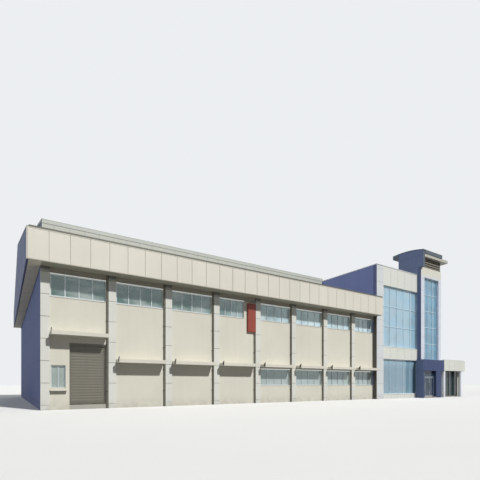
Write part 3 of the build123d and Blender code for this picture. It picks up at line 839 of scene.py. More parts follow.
    # The lighter blue of the portal's left end face is painted light on its shaded side.
    PORTAL = Coat("portal_blue", paint(64, 76, 112), 0.5, grain=SHEET, gloss=0.2, panel_tone=0.08,
                  joints=(Joints(X, 0.4, 17.515, 0.01), Joints(Z, 0.71, 0.0, 0.01)),
                  ends=(17.44, 21.0), end_colour=paint(98, 111, 143), nodes="entrance_portal")
    PORCH = Coat("porch_panel", paint(216, 217, 208), 0.45, grain=SHEET,
                 joints=(Joints(Y, 0.5, 0.15, 0.01),), joint_shade=0.4, nodes="porch_roof")
    COLUMN = Coat("column_white", paint(238, 242, 248), 0.45, grain=(60.0, 0.0005), foot_dirt=0.3)
    TRIM = Coat("white_trim", paint(216, 216, 210), 0.45, grain=FOLDED, mottling=0.03)
    COPING = Coat("coping_metal", paint(196, 200, 200), 0.4, 0.3, grain=FOLDED,
                  joints=(Joints(X, 1.2, 14.2, 0.006),), joint_shade=0.4)
    FRAME = Bare("window_aluminium", paint(172, 178, 182), 0.38, 0.55)
    HALL_FRAME = Bare("hall_window_frame", paint(186, 196, 198), 0.4, 0.4, nodes="hall_window_frames")
    HEAD_TRIM = Bare("window_head_metal", paint(228, 230, 226), 0.3, 0.95)
    # The very pale blue of the bars is partly painted light, for their shaded side faces.
    CURTAIN_FRAME = Bare("curtain_wall_frame", paint(206, 230, 242), 0.4, 0.2, 19.47, paint(52, 62, 64),
                         nodes="curtain_wall_frames")
    DOOR_FRAME = Bare("entrance_aluminium", paint(128, 138, 150), 0.38, 0.5,
                      nodes="entrance_frame left_door_leaf right_door_leaf")
    STEEL = Bare("handle_steel", paint(200, 200, 200), 0.25, 0.95)
    SEAL = Rubber("door_rubber")
    # The glass colours along X, the cloudy patches and the low colours are painted reflections.
    HIGH_GLASS = Glazing("hall_glass", paint(60, 92, 84), paint(206, 234, 246), 4.5, 9.5, bend=2.3,
                         clear=0.15, tint=(0.8, 0.98, 0.96), low_reflection=paint(170, 178, 172),
                         nodes="hall_window_glass")
    OFFICE_GLASS = Glazing("office_glass", paint(172, 204, 222), paint(108, 156, 182), 17.5, 17.9,
                           reflection_patches=0.3, bend=2.1, clear=0.12, low_reflection=paint(110, 143, 160),
                           beyond=19.47, beyond_colour=paint(42, 62, 64), nodes="curtain_wall_glass")
    DOOR_GLASS = Glazing("entrance_glass", paint(50, 70, 92), paint(54, 74, 98), 17.0, 19.0, clear=0.35,
                         nodes="entrance_glass left_door_glass right_door_glass")


class Shop:
    """Keeps one built material for each finish, and fixes pieces to their bodies."""

    def __init__(self) -> None:
        """Start with no material built."""
        self.materials: dict[Finish, Material] = {}

    def dress(self, piece: Piece, finish: Finish) -> None:
        """Put a finish, built on its first use, on a piece or on a CAD node.

        Args:
            piece: The piece.
            finish: Its finish.
        """
        if finish not in self.materials:
            self.materials[finish] = finish.value.build()
        if not piece.material_slots:
            piece.data.materials.append(self.materials[finish])
        for place in piece.material_slots:
            place.material = self.materials[finish]

    def deliver(self, piece: Piece, finish: Finish, slot: str, body: str = BUILDING,
                instead: str | None = None, smooth: bool = False) -> None:
        """Dress a new piece and fix it to a body.

        Args:
            piece: The new piece.
            finish: Its finish.
            slot: The record's material slot that it belongs to; not used.
            body: The body that it moves with.
            instead: The CAD node that it stands for, if there is one.
            smooth: Whether its curved faces are shaded as one.
        """
        self.dress(piece, finish)
        if smooth:
            clear_bench()
            piece.select_set(True)
            bpy.context.view_layer.objects.active = piece
            bpy.ops.object.shade_smooth_by_angle(angle=math.radians(SMOOTH_ANGLE))
            piece.select_set(False)
        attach(piece, body)
        if instead:
            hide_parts(instead)
        LOG.info("%s: %d faces", piece.name, len(piece.data.polygons))


# Sub-assemblies

@dataclass(frozen=True)
class Bays:
    """The hall's bays along its front and back."""

    pitch: float = 1.8
    count: int = 8
    before: float = 0.24
    after: float = 0.06
    length: float = 14.2
    short_bay: int = 3
    short_end: float = 6.7
    first_ground: int = 4

    def span(self, bay: int, back: bool) -> tuple[float, float]:
        """The left and right edges of a bay between its pilasters.

        Args:
            bay: The bay's number from the left.
            back: Whether it is at the back, where no window is short.

        Returns:
            The two edges.
        """
        right = min((bay + 1) * self.pitch - self.after, self.length)
        if bay == self.short_bay and not back:
            right = self.short_end
        return bay * self.pitch + self.before, right


@dataclass(frozen=True)
class RoofForm:
    """The pitched roof and its raised monitor."""

    eaves: float = 4.81
    slope: float = 0.247
    overhang: float = 0.5
    ridge: float = 6.45
    left: float = -0.305
    right: float = 14.2
    monitor_left: float = 0.305
    monitor_front: float = 3.35
    monitor_rise: float = 0.84

    def top(self, y: float) -> float:
        """The height of the hall roof at a depth."""
        return self.eaves + self.slope * (min(y, HALL_DEPTH - y) + self.overhang)


@dataclass
class Eaves:
    """The deep boxed overhang: fascia cassettes, gable cassettes and gutter straps."""

    shop: Shop
    roof: RoofForm
    left: float = HALL_LEFT
    right: float = 14.25
    low: float = 3.975
    high: float = 4.81
    panels: int = 28
    gable_panels: int = 26
    gable_front: float = -0.45
    gable_peak: float = 6.9
    joint: float = 0.012
    tray: float = 0.014
    rail: float = 0.022
    gap: float = 0.004
    shadow: float = 0.003
    thick: float = 0.05

    @property
    def foot(self) -> float:
        """The top of the lower rail."""
        return self.low + self.rail * 0.6

    def fascias(self) -> None:
        """Build both long fascias: a core with its rails and its return at the right, and flat trays."""
        edge = -self.roof.overhang
        front, face = edge + self.tray + self.gap, edge + self.shadow
        corner, side, top = self.right - self.thick, self.left + self.rail, self.high - self.rail
        cores = []
        for reach in (0.285, 0.45):
            bench = Bench.block("front_fascia_core", (self.left, front, self.low),
                                (self.right, edge + self.thick, self.high))
            bench.across(X, corner).toward(REAR, lambda m: m.x > corner).push((0, reach, 0))
            bench.across(X, side).across(Z, self.foot, top)
            bench.toward(FRONT, lambda m: m.x < side or m.z > top or m.z < self.foot)
            cores.append(bench.push((0, edge - front, 0)).done())
        pitch = (self.right - self.left) / self.panels
        low = (self.left + self.joint / 2, face, self.foot + self.gap)
        high = (low[0] + pitch - self.joint, face + self.tray, top - self.gap)
        first, tray = (Bench.block("tray", start, high).toward(FRONT).bevel(0.004, 2).done()
                       for start in ((side + self.gap, *low[1:]), low))
        rest = repeated("trays", tray, steps((pitch, 0, 0), self.panels - 1, 1))
        trays = joined("front_fascia_trays", [first, rest])
        cores[1] = at_the_back("back_fascia_core", cores[1])
        rows = (trays, mirrored("back_fascia_trays", trays))
        for core, node in zip(cores, ("front_fascia", "back_fascia")):
            self.shop.deliver(core, Finish.CASSETTE_CORE, "cream_panel", instead=node)
        for row in rows:
            self.shop.deliver(row, Finish.CASSETTE, "cream_panel")

    def under_slopes(self, bench: Bench, lower: float, drop: bool) -> None:
        """Cut a piece of the gable along both roof slopes.

        Args:
            bench: The piece.
            lower: How far under the roof it is cut.
            drop: Whether what is above is cut away.
        """
        y, slope = self.gable_front, self.roof.slope
        z = self.roof.top(y) - lower
        bench.slice((0, y, z), (0, -slope, 1), drop).slice((0, HALL_DEPTH - y, z), (0, slope, 1), drop)

    def gable(self) -> None:
        """Build the tall blue panel of the roof's left end."""
        start, end = self.gable_front, HALL_DEPTH - self.gable_front
        outer, face = self.left + self.tray + self.gap, self.left + self.shadow
        core = Bench.block("gable_core", (outer, start, self.low),
                           (self.left + self.thick, end, self.gable_peak))
        self.under_slopes(core, 0.0, True)
        self.under_slopes(core, self.rail, False)
        core.across(Z, self.foot)
        core.toward(LEFT, lambda m: m.z > self.roof.top(m.y) - self.rail or m.z < self.foot)
        core = core.push((self.left - outer, 0, 0)).done()
        pitch = (end - start) / self.gable_panels
        trays = []
        for number in range(self.gable_panels):
            y = start + pitch * number + self.joint / 2
            tray = Bench.block("tray", (face, y, self.foot + self.gap),
                               (face + self.tray, y + pitch - self.joint, self.gable_peak))
            self.under_slopes(tray, self.rail + self.gap, True)
            trays.append(tray.toward(LEFT).bevel(0.004, 2).done())
        self.shop.deliver(core, Finish.GABLE_CASSETTE, "blue_panel", instead="gable_fascia")
        self.shop.deliver(joined("gable_trays", trays), Finish.GABLE_CASSETTE, "blue_panel")

    def straps(self) -> None:
        """Build the flat straps that hold the gutters."""
        z = self.high + 0.052
        bench = Bench.block("strap", (0, -0.499, z), (0.024, -0.425, z + 0.006))
        strap = bench.toward(DOWN).inset(0.004).whole().bevel(0.0015).done()
        row = repeated("gutter_straps", strap, [(0.2 + 0.9 * number, 0, 0) for number in range(16)])
        self.shop.deliver(both_sides("gutter_straps", [row]), Finish.COPING, "roof_metal")

    def build(self) -> None:
        """Build the whole overhang."""
        self.fascias()
        self.gable()
        self.straps()


@dataclass
class Roofs:
    """Standing seams, ridge caps and flashings of the hall roof and its monitor."""

    shop: Shop
    roof: RoofForm
    seam_pitch: float = 0.25
    seam_width: float = 0.018
    seam_height: float = 0.03
    seam_foot: float = -0.42
    cap_half: float = 0.16
    verge: float = -0.452

    def climbing(self, name: str, low: Point, high: Point) -> Bench:
        """A bar that climbs with the roof's front slope, given by its corners before it climbs."""
        bench = Bench.block(name, low, high)
        return bench.toward(REAR).slide((0, 0, self.roof.slope * (high[1] - low[1])))

    def seams(self) -> None:
        """Build the standing seams of all four slopes."""
        roof = self.roof
        count = int((roof.right - 0.4) / self.seam_pitch) + 1
        rows = []
        for x, start, end, rise, number in (
                (0.35, self.seam_foot, roof.monitor_front - 0.015, 0.0, count),
                (-0.15, self.seam_foot, roof.ridge - 0.05, 0.0, 2),
                (0.35, roof.monitor_front + 0.01, roof.ridge - 0.05, roof.monitor_rise, count)):
            z = roof.top(start) + rise - 0.004
            seam = self.climbing("seam", (x, start, z), (x + self.seam_width, end, z + self.seam_height))
            seam.toward(UP).bevel(0.005, 2)
            rows.append(repeated("seams", seam.done(), steps((self.seam_pitch, 0, 0), number)))
        self.shop.deliver(both_sides("standing_seams", rows), Finish.ROOF_SHEET, "roof_metal")

    def caps(self) -> None:
        """Build the folded cap over each ridge."""
        roof, half = self.roof, self.cap_half
        caps = []
        for left, right, rise in ((roof.left, roof.monitor_left + 0.02, 0.0),
                                  (roof.monitor_left - 0.02, roof.right, roof.monitor_rise)):
            z = roof.top(roof.ridge - half) + rise + self.seam_height
            bench = Bench.block("cap", (left, roof.ridge - half, z - 0.008),
                                (right, roof.ridge + half, z + 0.004))
            bench.across(Y, roof.ridge)
            bench.edges(lambda a, b: within(a, b, (Y, roof.ridge)))
            bench.slide((0, 0, roof.slope * half))
            bench.pick("FACE", lambda m, n: abs(n.y) > FLAT).push((0, 0, -0.018))
            caps.append(bench.done())
        self.shop.deliver(joined("ridge_caps", caps), Finish.COPING, "roof_metal")

    def flashings(self) -> None:
        """Build the monitor's foot flashings, its eaves trims and the verge caps."""
        roof = self.roof
        x, y, ridge = roof.monitor_left, roof.monitor_front, roof.ridge
        seat, eaves, verge = roof.top(y), roof.top(y) + roof.monitor_rise, roof.top(self.verge)
        right, wall = roof.right, y - 0.0005
        foot = Bench.block("foot", (x - 0.012, y - 0.012, seat - 0.03), (right, wall, seat + 0.07))
        foot.across(Z, seat + 0.012).toward(FRONT, lambda m: m.z < seat + 0.012).push((0, -0.07, -0.017))
        both = [foot.done()]
        trim = Bench.block("trim", (x - 0.014, y - 0.014, eaves - 0.13), (right, wall, eaves + 0.012))
        trims = [trim.press(FRONT, 0.012, 0.004).done()]
        ends, verges = [], []
        for low, high, soft, group in (
                ((x - 0.012, y - 0.01, seat - 0.02), (x - 0.0005, ridge, seat + 0.07), 0.002, ends),
                ((x - 0.016, y - 0.014, eaves - 0.1), (x - 0.0005, ridge, eaves + 0.014), 0.002, ends),
                ((-0.354, self.verge, verge + 0.001), (-0.27, ridge, verge + 0.02), 0.003, verges)):
            group.append(self.climbing("climbing", low, high).whole().bevel(soft).done())
        for name, pieces, finish, slot in (
                ("monitor_flashings", both, Finish.COPING, "roof_metal"),
                ("monitor_trims", trims, Finish.MONITOR_TRIM, "cream_panel"),
                ("monitor_end_trims", ends, Finish.SLATE, "dark_metal"),
                ("verge_caps", verges, Finish.GUTTER, "dark_metal")):
            self.shop.deliver(both_sides(name, pieces), finish, slot)

    def build(self) -> None:
        """Build all the roof's details."""
        self.seams()
        self.caps()
        self.flashings()


def sill(low: Point, high: Point, drop: float, lip: float, fold: float) -> Piece:
    """A folded sill with a sloped top and a drip edge.

    Args:
        low: The lowest corner of its flat part.
        high: Its highest corner.
        drop: How far its front edge slopes down.
        lip: How deep the drip edge is, from the front.
        fold: How far the drip edge reaches down.

    Returns:
        The sill.
    """
    bench = Bench.block("sill", low, high)
    bench.edges(lambda a, b: max(a.y, b.y) < low[1] + TINY and min(a.z, b.z) > high[2] - TINY)
    bench.slide((0, 0, -drop)).across(Y, low[1] + lip)
    return bench.toward(DOWN, lambda m: m.y < low[1] + lip).push((0, 0, -fold)).done()


@dataclass
class HallWindows:
    """Sills, head trims and glazing beads of the hall's windows."""

    shop: Shop
    bays: Bays
    rows: tuple[tuple[float, float], ...] = ((3.185, 3.8), (0.675, 1.3))
    back: float = 0.045
    width: float = 0.024
    glass: float = 0.064
    panes: int = 4

    def build(self) -> None:
        """Build the trims of both long sides. The bays from the fifth on have a ground window too."""
        for behind in (False, True):
            sills, heads, beads = [], [], []
            for bay in range(self.bays.count):
                left, right = self.bays.span(bay, behind)
                step = (right - left - self.width) / self.panes
                for low, high in self.rows[:2 if bay >= self.bays.first_ground else 1]:
                    sills.append(sill((left - 0.008, -0.012, low - 0.014), (right, self.back, low + 0.002),
                                      0.006, 0.006, 0.006))
                    head = Bench.block("head", (left - 0.008, -0.02, high - 0.006),
                                       (right, self.back, high + 0.028))
                    heads.append(head.press(FRONT, 0.005, 0.003).done())
                    bead = ring("bead", (left + self.width, self.glass - 0.012, low + self.width),
                                (left + step, self.glass - 0.0005, high - self.width), 0.011, 0.003)
                    beads.append(repeated("beads", bead, steps((step, 0, 0), self.panes)))
            for name, pieces, finish, slot in (
                    ("window_sills", sills, Finish.TRIM, "white_trim"),
                    ("window_heads", heads, Finish.HEAD_TRIM, "frame_metal"),
                    ("glazing_beads", beads, Finish.HALL_FRAME, "frame_metal")):
                row = joined(f"front_{name}", pieces)
                self.shop.deliver(at_the_back(f"back_{name}", row) if behind else row, finish, slot)


@dataclass
class Ledges:
    """Edge profiles and end fins of the ledges over the ground storey."""

    shop: Shop
    bays: Bays
    face: float = -0.35
    thick: float = 0.1
    low: float = 1.375
    dock_low: float = 2.09

    def build(self) -> None:
        """Build the folded profile on each ledge's front edge, and the dark fin at its left corner."""
        y = self.face
        profiles, fins = [], []
        for bay in range(self.bays.count):
            left, right = self.bays.span(bay, True)
            for behind in (False, True):
                low = self.low if bay or behind else self.dock_low
                top = low + self.thick
                bench = Bench.block("profile", (left, y - 0.006, low + 0.012),
                                    (right, y + 0.03, top + 0.004))
                bench.across(Y, y).toward(DOWN, lambda m: m.y < y).push((0, 0, -0.018))
                bench.edges(lambda a, b: max(a.y, b.y) < y and min(a.z, b.z) > top).bevel(0.003, 2)
                profile = bench.done()
                if behind:
                    profiles.append(at_the_back("back", profile))
                    continue
                profiles.append(profile)
                fin = Bench.block("fin", (left - 0.012, y, low + 0.02),
                                  (left + 0.012, y + 0.09, top + 0.075))
                fin.edges(lambda a, b: min(a.y, b.y) > y + 0.08 and min(a.z, b.z) > top)
                fin.slide((0, 0, -0.06))
                fins.append(fin.whole().bevel(0.002).done())
        self.shop.deliver(joined("ledge_profiles", profiles), Finish.LEDGE, "cream_render")
        self.shop.deliver(joined("ledge_fins", fins), Finish.GUTTER, "dark_metal")


@dataclass
class RainPipes:
    """Clips and sockets of the downpipes."""

    shop: Shop
    bays: Bays
    radius: float = 0.025
    y: float = -0.0253
    offset: float = 0.03
    short_top: float = 2.68
    clips: tuple[float, ...] = (0.5, 1.2, 1.9, 2.6, 3.3)
    sockets: tuple[float, ...] = (0.85, 2.25)

    def clip(self) -> Piece:
        """A round clip with two ears and a wall plate.

        Returns:
            The clip, at the grid's start.
        """
        clip = Bench.round("clip", (0, self.y, 0), self.radius + 0.005, 0.022, 20)
        clip.pick("FACE", lambda m, n: abs(n.z) > FLAT).bevel(0.003)
        plate = bar("plate", (-0.043, -0.006, -0.004), (0.043, 0.0, 0.026), 0.002)
        ears = bar("ears", (-0.04, self.y - 0.003, 0.003), (0.04, self.y + 0.003, 0.019), 0.0015)
        return joined("clip", [clip.piece, plate, ears])

    def build(self) -> None:
        """Build the clips and sockets of every pipe. One pipe of the front starts under the red panel."""
        places = [self.bays.pitch * number - self.offset for number in range(1, self.bays.count)]
        short = places[self.bays.short_bay]
        clips = [(x, 0, z) for x in places for z in self.clips]
        front = [move for move in clips if move[0] != short or move[2] < self.short_top]
        back = at_the_back("back", repeated("clips", self.clip(), clips))
        both = joined("pipe_clips", [repeated("clips", self.clip(), front), back])
        self.shop.deliver(both, Finish.GUTTER, "pipe_grey", smooth=True)
        bench = Bench.round("socket", (0, self.y, 0), self.radius + 0.004, 0.055, 20)
        bench.toward(UP).push((0, 0, 0.004)).swell(1.12).push((0, 0, 0.012)).inset(0.002)
        socket = bench.toward(DOWN).swell(0.9).done()
        row = repeated("sockets", socket, [(x, 0, z) for x in places for z in self.sockets])
        self.shop.deliver(both_sides("pipe_sockets", [row]), Finish.PIPE, "pipe_grey", smooth=True)


@dataclass
class Dock:
    """The roller shutter's rail and lips, the small window's trim and the red panel."""

    shop: Shop
    left: float = 0.775
    right: float = 1.7
    floor: float = 0.125
    roll: float = 1.855
    window: tuple[float, ...] = (0.26, 0.635, 0.615, 1.25)
    width: float = 0.024
    red_low: Point = (6.84, -0.075, 2.68)
    red_high: Point = (7.195, 0.0, 3.75)

    def shutter(self) -> None:
        """Build the shutter's bottom rail with its grips and rubber strip, and the lips of its frame."""
        z = self.floor + 0.014
        rail = Bench.block("rail", (self.left, 0.05, z), (self.right, 0.088, z + 0.062))
        rail = rail.press(FRONT, 0.012, 0.006).toward(UP).bevel(0.003).done()
        x = self.left + 0.2
        grip = bar("grip", (x, 0.038, z + 0.022), (x + 0.1, 0.051, z + 0.04), 0.004, 2)
        grips = repeated("grips", grip, steps((0.425, 0, 0), 2))
        strip = bar("shutter_strip", (self.left, 0.056, self.floor + 0.0005), (self.right, 0.084, z),
                    0.003, 2)
        lip = Bench.block("lip", (0.735, 0.02, self.roll), (1.74, 0.045, self.roll + 0.05))
        lip = lip.press(DOWN, 0.004, 0.004).done()
        guide = bar("guide", (0.735, 0.03, self.floor), (0.747, 0.047, self.roll), 0.002)
        guides = repeated("guides", guide, steps((0.993, 0, 0), 2))
        self.shop.deliver(joined("shutter_rail", [rail, grips]), Finish.SHUTTER_RAIL, "shutter_grey")
        self.shop.deliver(strip, Finish.SEAL, "dark_metal")
        self.shop.deliver(joined("shutter_lips", [lip, guides]), Finish.SHUTTER_RAIL, "shutter_grey")

    def small_window(self) -> None:
        """Build the small window's outer trim and its two panes' beads."""
        left, right, low, high = self.window
        trim = ring("small_window_trim", (left - 0.012, -0.008, low - 0.012),
                    (right + 0.012, 0.0, high + 0.012), 0.016, 0.003)
        step = (right - left - self.width) / 2
        bead = ring("bead", (left + self.width, 0.052, low + self.width),
                    (left + step, 0.0635, high - self.width), 0.011, 0.003)
        self.shop.deliver(trim, Finish.TRIM, "white_trim")
        self.shop.deliver(repeated("small_window_beads", bead, steps((step, 0, 0), 2)), Finish.FRAME,
                          "frame_metal")

    def red_panel(self) -> None:
        """Build the red box with its folded cover."""
        low, high = self.red_low, self.red_high
        bench = Bench.block("red_box", low, high)
        bench.press(FRONT, 0.018, 0.005).inset(0.004).push((0, -0.004, 0))
        bench.edges(lambda a, b: max(a.y, b.y) < low[1] + 1e-5
                    and within(a, b, (X, low[0]), (X, high[0]), (Z, low[2]), (Z, high[2]))).bevel(0.004, 2)
        self.shop.deliver(bench.done(), Finish.RED, "red_paint", instead="red_panel")

    def build(self) -> None:
        """Build the dock bay's details."""
        self.shutter()
        self.small_window()
        self.red_panel()


@dataclass(frozen=True)
class CurtainField:
    """One framed field of glass, where its bars are and the side along Y that it faces."""

    left: float
    right: float
    low: float
    high: float
    face: float
    columns: int
    rows: int
    outward: float = -1.0
    bar: float = 0.024

    def caps(self) -> Piece:
        """The slim cover caps on the field's bars.

        Returns:
            The joined caps.
        """
        near, far = sorted((self.face, self.face + self.outward * 0.006))
        rail_near, rail_far = sorted((self.face, self.face + self.outward * 0.004))
        half, x, z = 0.008, self.left + self.bar / 2, self.low + self.bar / 2
        step_x = (self.right - self.left - self.bar) / self.columns
        step_z = (self.high - self.low - self.bar) / self.rows
        post = bar("post", (x - half, near, self.low + 0.004), (x + half, far, self.high - 0.004), 0.0025)
        rail = bar("rail", (self.left + 0.004, rail_near, z - half),
                   (self.right - 0.004, rail_far, z + half), 0.0015)
        return joined("caps", [repeated("posts", post, steps((step_x, 0, 0), self.columns + 1)),
                               repeated("rails", rail, steps((0, 0, step_z), self.rows + 1))])


@dataclass
class Office:
    """Cover caps, copings, sills and drips of the office block."""

    shop: Shop
    left: float = 14.2
    right: float = 19.5
    tower: float = 17.59
    front: float = -0.2
    glass: float = -0.13
    top: float = 6.5
    pier: float = 0.52
    lap: float = 0.012
    cap: float = 0.162
    ground: tuple[float, float] = (0.225, 1.965)
    upper: tuple[float, float] = (2.565, 5.565)

    def caps(self) -> None:
        """Build the cover caps of every curtain wall, those of the stair and the wing too."""
        start, end, rear = self.left + self.pier, self.right - self.pier, HALL_DEPTH - 0.1
        fields = (
            CurtainField(start, self.tower, *self.upper, self.glass, 5, 3),
            CurtainField(start, self.tower, *self.ground, self.glass, 5, 1),
            CurtainField(start, end, *self.upper, rear, 7, 3, 1.0),
            CurtainField(start, end, *self.ground, rear, 7, 1, 1.0),
            CurtainField(17.905, 19.265, 1.99, 6.38, -0.29, 3, 5),
            CurtainField(self.right, 21.44, 0.05, 1.93, -0.3, 4, 1),
        )
        caps = joined("curtain_wall_caps", [field.caps() for field in fields])
        self.shop.deliver(caps, Finish.CURTAIN_FRAME, "frame_metal")

    def copings(self) -> None:
        """Build the folded cap of each parapet and side wall, with a drip edge all round its underside."""
        left, right, rear = self.left - self.lap, self.right + self.lap, HALL_DEPTH - self.cap
        pieces = []
        for x0, y0, x1, y1 in ((left, self.front - self.lap, self.tower - 0.001, self.lap),
                               (left, self.lap, self.left + self.cap, rear),
                               (self.right - self.cap, 0.921, right, rear),
                               (left, rear, right, HALL_DEPTH + self.lap)):
            bench = Bench.block("coping", (x0, y0, self.top + 0.001), (x1, y1, self.top + 0.014))
            bench.toward(DOWN).inset(0.006)
            bench.toward(DOWN, lambda m: min(m.x - x0, x1 - m.x, m.y - y0, y1 - m.y) < 0.006)
            pieces.append(bench.push((0, 0, -0.028)).toward(UP).bevel(0.003).done())
        self.shop.deliver(joined("office_copings", pieces), Finish.COPING, "roof_metal")

    def band_trims(self) -> None:
        """Build the drip profiles under the bands and the sloped sills on them."""
        x0, x1, y = self.left + self.pier, self.tower, self.front
        pieces = []
        for z in (self.upper[1], self.ground[1]):
            drip = Bench.block("drip", (x0, y - 0.006, z - 0.006), (x1, y + 0.03, z + 0.016))
            pieces.append(drip.press(FRONT, 0.004, 0.002).done())
        for z in (self.upper[0], self.ground[0]):
            pieces.append(sill((x0, y - 0.01, z + 0.001), (x1, self.glass, z + 0.012), 0.007, 0.008, 0.02))
        self.shop.deliver(joined("office_band_trims", pieces), Finish.TRIM, "white_trim")

    def build(self) -> None:
        """Build the office's details."""
        self.caps()
        self.copings()
        self.band_trims()


@dataclass
class StairTower:
    """The louvres and the canopy slab of the stair tower."""

    shop: Shop
    left: float = 17.59
    right: float = 19.5
    front: float = -0.39
    wall_top: float = 6.9
    canopy: float = 7.425
    blades: int = 4
    slab_low: Point = (17.74, -0.515, 7.425)
    slab_high: Point = (19.97, 0.92, 7.585)

    def build(self) -> None:
        """Build the sloped blades in front of the vent band, their posts, and the canopy slab."""
        pitch = (self.canopy - self.wall_top - 0.04) / self.blades
        y, z = self.front + 0.012, self.wall_top + 0.03
        bench = Bench.block("blade", (self.left + 0.15, y, z), (self.right - 0.02, y + 0.046, z + 0.008))
        bench.toward(REAR).slide((0, 0, 0.108)).toward(FRONT).push((0, -0.002, -0.012))
        row = repeated("blades", bench.done(), steps((0, 0, pitch), self.blades))
        post = bar("post", (self.left + 0.3, self.front + 0.02, self.wall_top),
                   (self.left + 0.315, self.front + 0.06, self.canopy), 0.003)
        posts = repeated("posts", post, steps((0.5, 0, 0), 4))
        self.shop.deliver(joined("tower_louvres", [row, posts]), Finish.VENT, "dark_metal")
        low, high = self.slab_low, self.slab_high
        bench = Bench.block("canopy_slab", low, high)
        bench.press(DOWN, 0.03, 0.006).inset(0.005).push((0, 0, -0.005))
        bench.edges(lambda a, b: within(a, b, (Z, low[2]), (Z, high[2]))
                    and within(a, b, (X, low[0]), (X, high[0]), (Y, low[1]))).bevel(0.006, 2)
        self.shop.deliver(bench.done(), Finish.CANOPY, "cream_panel", instead="tower_canopy")


@dataclass
class Entrance:
    """Beads, seals and door hardware of the entrance."""

    shop: Shop
    face: float = -0.49
    floor: float = 0.05
    low: float = 0.056
    high: float = 1.094
    left: float = 17.776
    right: float = 18.614
    leaf: float = 0.413
    thick: float = 0.022
    bead: float = 0.0045
    pull: float = 0.015

    def leaves(self) -> None:
        """Build the kick plate, grip ends, lock, beads and bottom seal of each leaf."""
        y = self.face
        inner = self.left + self.leaf, self.right - self.leaf
        for side, x0, x1, pull in (("left", self.left, inner[0], inner[0] - self.pull),
                                   ("right", inner[1], self.right, inner[1] + self.pull)):
            body = f"{side}_leaf"
            plate = Bench.block("plate", (x0 + 0.006, y - 0.003, self.low + 0.006),
                                (x1 - 0.006, y, self.low + 0.054))
            plate = plate.press(FRONT, 0.004, -0.0006).done()
            grip = Bench.round("grip_end", (pull, y - 0.025, 0.412), 0.0075, 0.01, 16)
            grip.pick("FACE", lambda m, n: abs(n.z) > FLAT).bevel(0.0025, 2)
            grips = repeated("grip_ends", grip.done(), steps((0, 0, 0.386), 2))
            lock = Bench.block("lock", (pull - 0.007, y - 0.004, 0.37), (pull + 0.007, y, 0.4))
            lock = lock.press(FRONT, 0.002, -0.002).done()
            steel = joined(f"{body}_hardware", [plate, grips, lock])
            self.shop.deliver(steel, Finish.STEEL, "frame_metal", body=body, smooth=True)
            bead = ring("bead", (x0 + 0.03, y, self.low + 0.06),
                        (x1 - 0.03, y + self.bead, self.high - 0.06), 0.008, 0.002)
            beads = repeated(f"{body}_beads", bead, steps((0, self.thick - self.bead, 0), 2))
            self.shop.deliver(beads, Finish.DOOR_FRAME, "frame_metal", body=body)
            seal = bar(f"{body}_seal", (x0 + 0.004, y + 0.007, self.low - 0.004),
                       (x1 - 0.004, y + 0.015, self.low + 0.001), 0.0008)
            self.shop.deliver(seal, Finish.SEAL, "dark_metal", body=body)

    def build(self) -> None:
        """Build the leaves' parts, the fixed lights' beads and the threshold plate."""
        self.leaves()
        near, far = self.face + 0.006, self.face + 0.019
        beads = [ring("bead", (x0, near, z0), (x1, far, 1.395), 0.01, 0.002)
                 for x0, x1, z0 in ((17.54, 17.74, 0.075), (17.77, 18.62, 1.125))]
        self.shop.deliver(joined("entrance_beads", beads), Finish.DOOR_FRAME, "frame_metal")
        plate = Bench.block("threshold_plate", (17.772, self.face - 0.02, self.floor),
                            (18.618, self.face + 0.05, self.floor + 0.0014))
        self.shop.deliver(plate.press(UP, 0.004, -0.0004).done(), Finish.STEEL, "frame_metal")


@dataclass
class Porch:
    """The round columns with their collars, and the top trims of the porch and the portal."""

    shop: Shop
    first: Point = (19.54, -0.5, 0.0)
    pitch: float = 1.8
    radius: float = 0.1
    collar: float = 0.004
    foot: float = 0.05
    neck: float = 1.415
    top: float = 1.455
    edge: float = 0.07
    low: Point = (19.436, -0.61, 2.0505)
    high: Point = (21.65, -0.54, 2.066)

    def columns(self) -> None:
        """Build the columns, each with a foot collar and a head collar."""
        bench = Bench.round("column", self.first, self.radius - self.collar, self.top, 40)
        bench.across(Z, self.foot, self.neck)
        bench.pick("FACE", lambda m, n: abs(n.z) < 0.1 and not self.foot < m.z < self.neck)
        bench.do(bpy.ops.mesh.extrude_region_shrink_fatten,
                 TRANSFORM_OT_shrink_fatten={"value": self.collar})
        row = repeated("round_columns", bench.done(), steps((self.pitch, 0, 0), 2))
        self.shop.deliver(row, Finish.COLUMN, "white_trim", instead="porch_columns", smooth=True)

    def build(self) -> None:
        """Build the columns and the trims."""
        self.columns()
        corner = self.high[0] - self.edge
        bench = Bench.block("porch_edge", self.low, self.high)
        bench.toward(REAR).slide((0, 0, -0.006)).across(X, corner)
        bench.toward(REAR, lambda m: m.x > corner).push((0, 4.29, 0))
        self.shop.deliver(bench.done(), Finish.COPING, "roof_metal")
        top = Bench.block("portal_cap", (17.4405, self.low[1], 2.0005),
                          (19.4345, self.low[1] + 0.215, 2.012))
        self.shop.deliver(top.press(UP, 0.01, 0.003).done(), Finish.PORTAL, "portal_blue")


@dataclass(frozen=True)
class Lamp:
    """A far lamp: its strength, the way its light travels, its width in degrees and its colour."""

    strength: float
    way: Point
    width: float
    colour: Colour


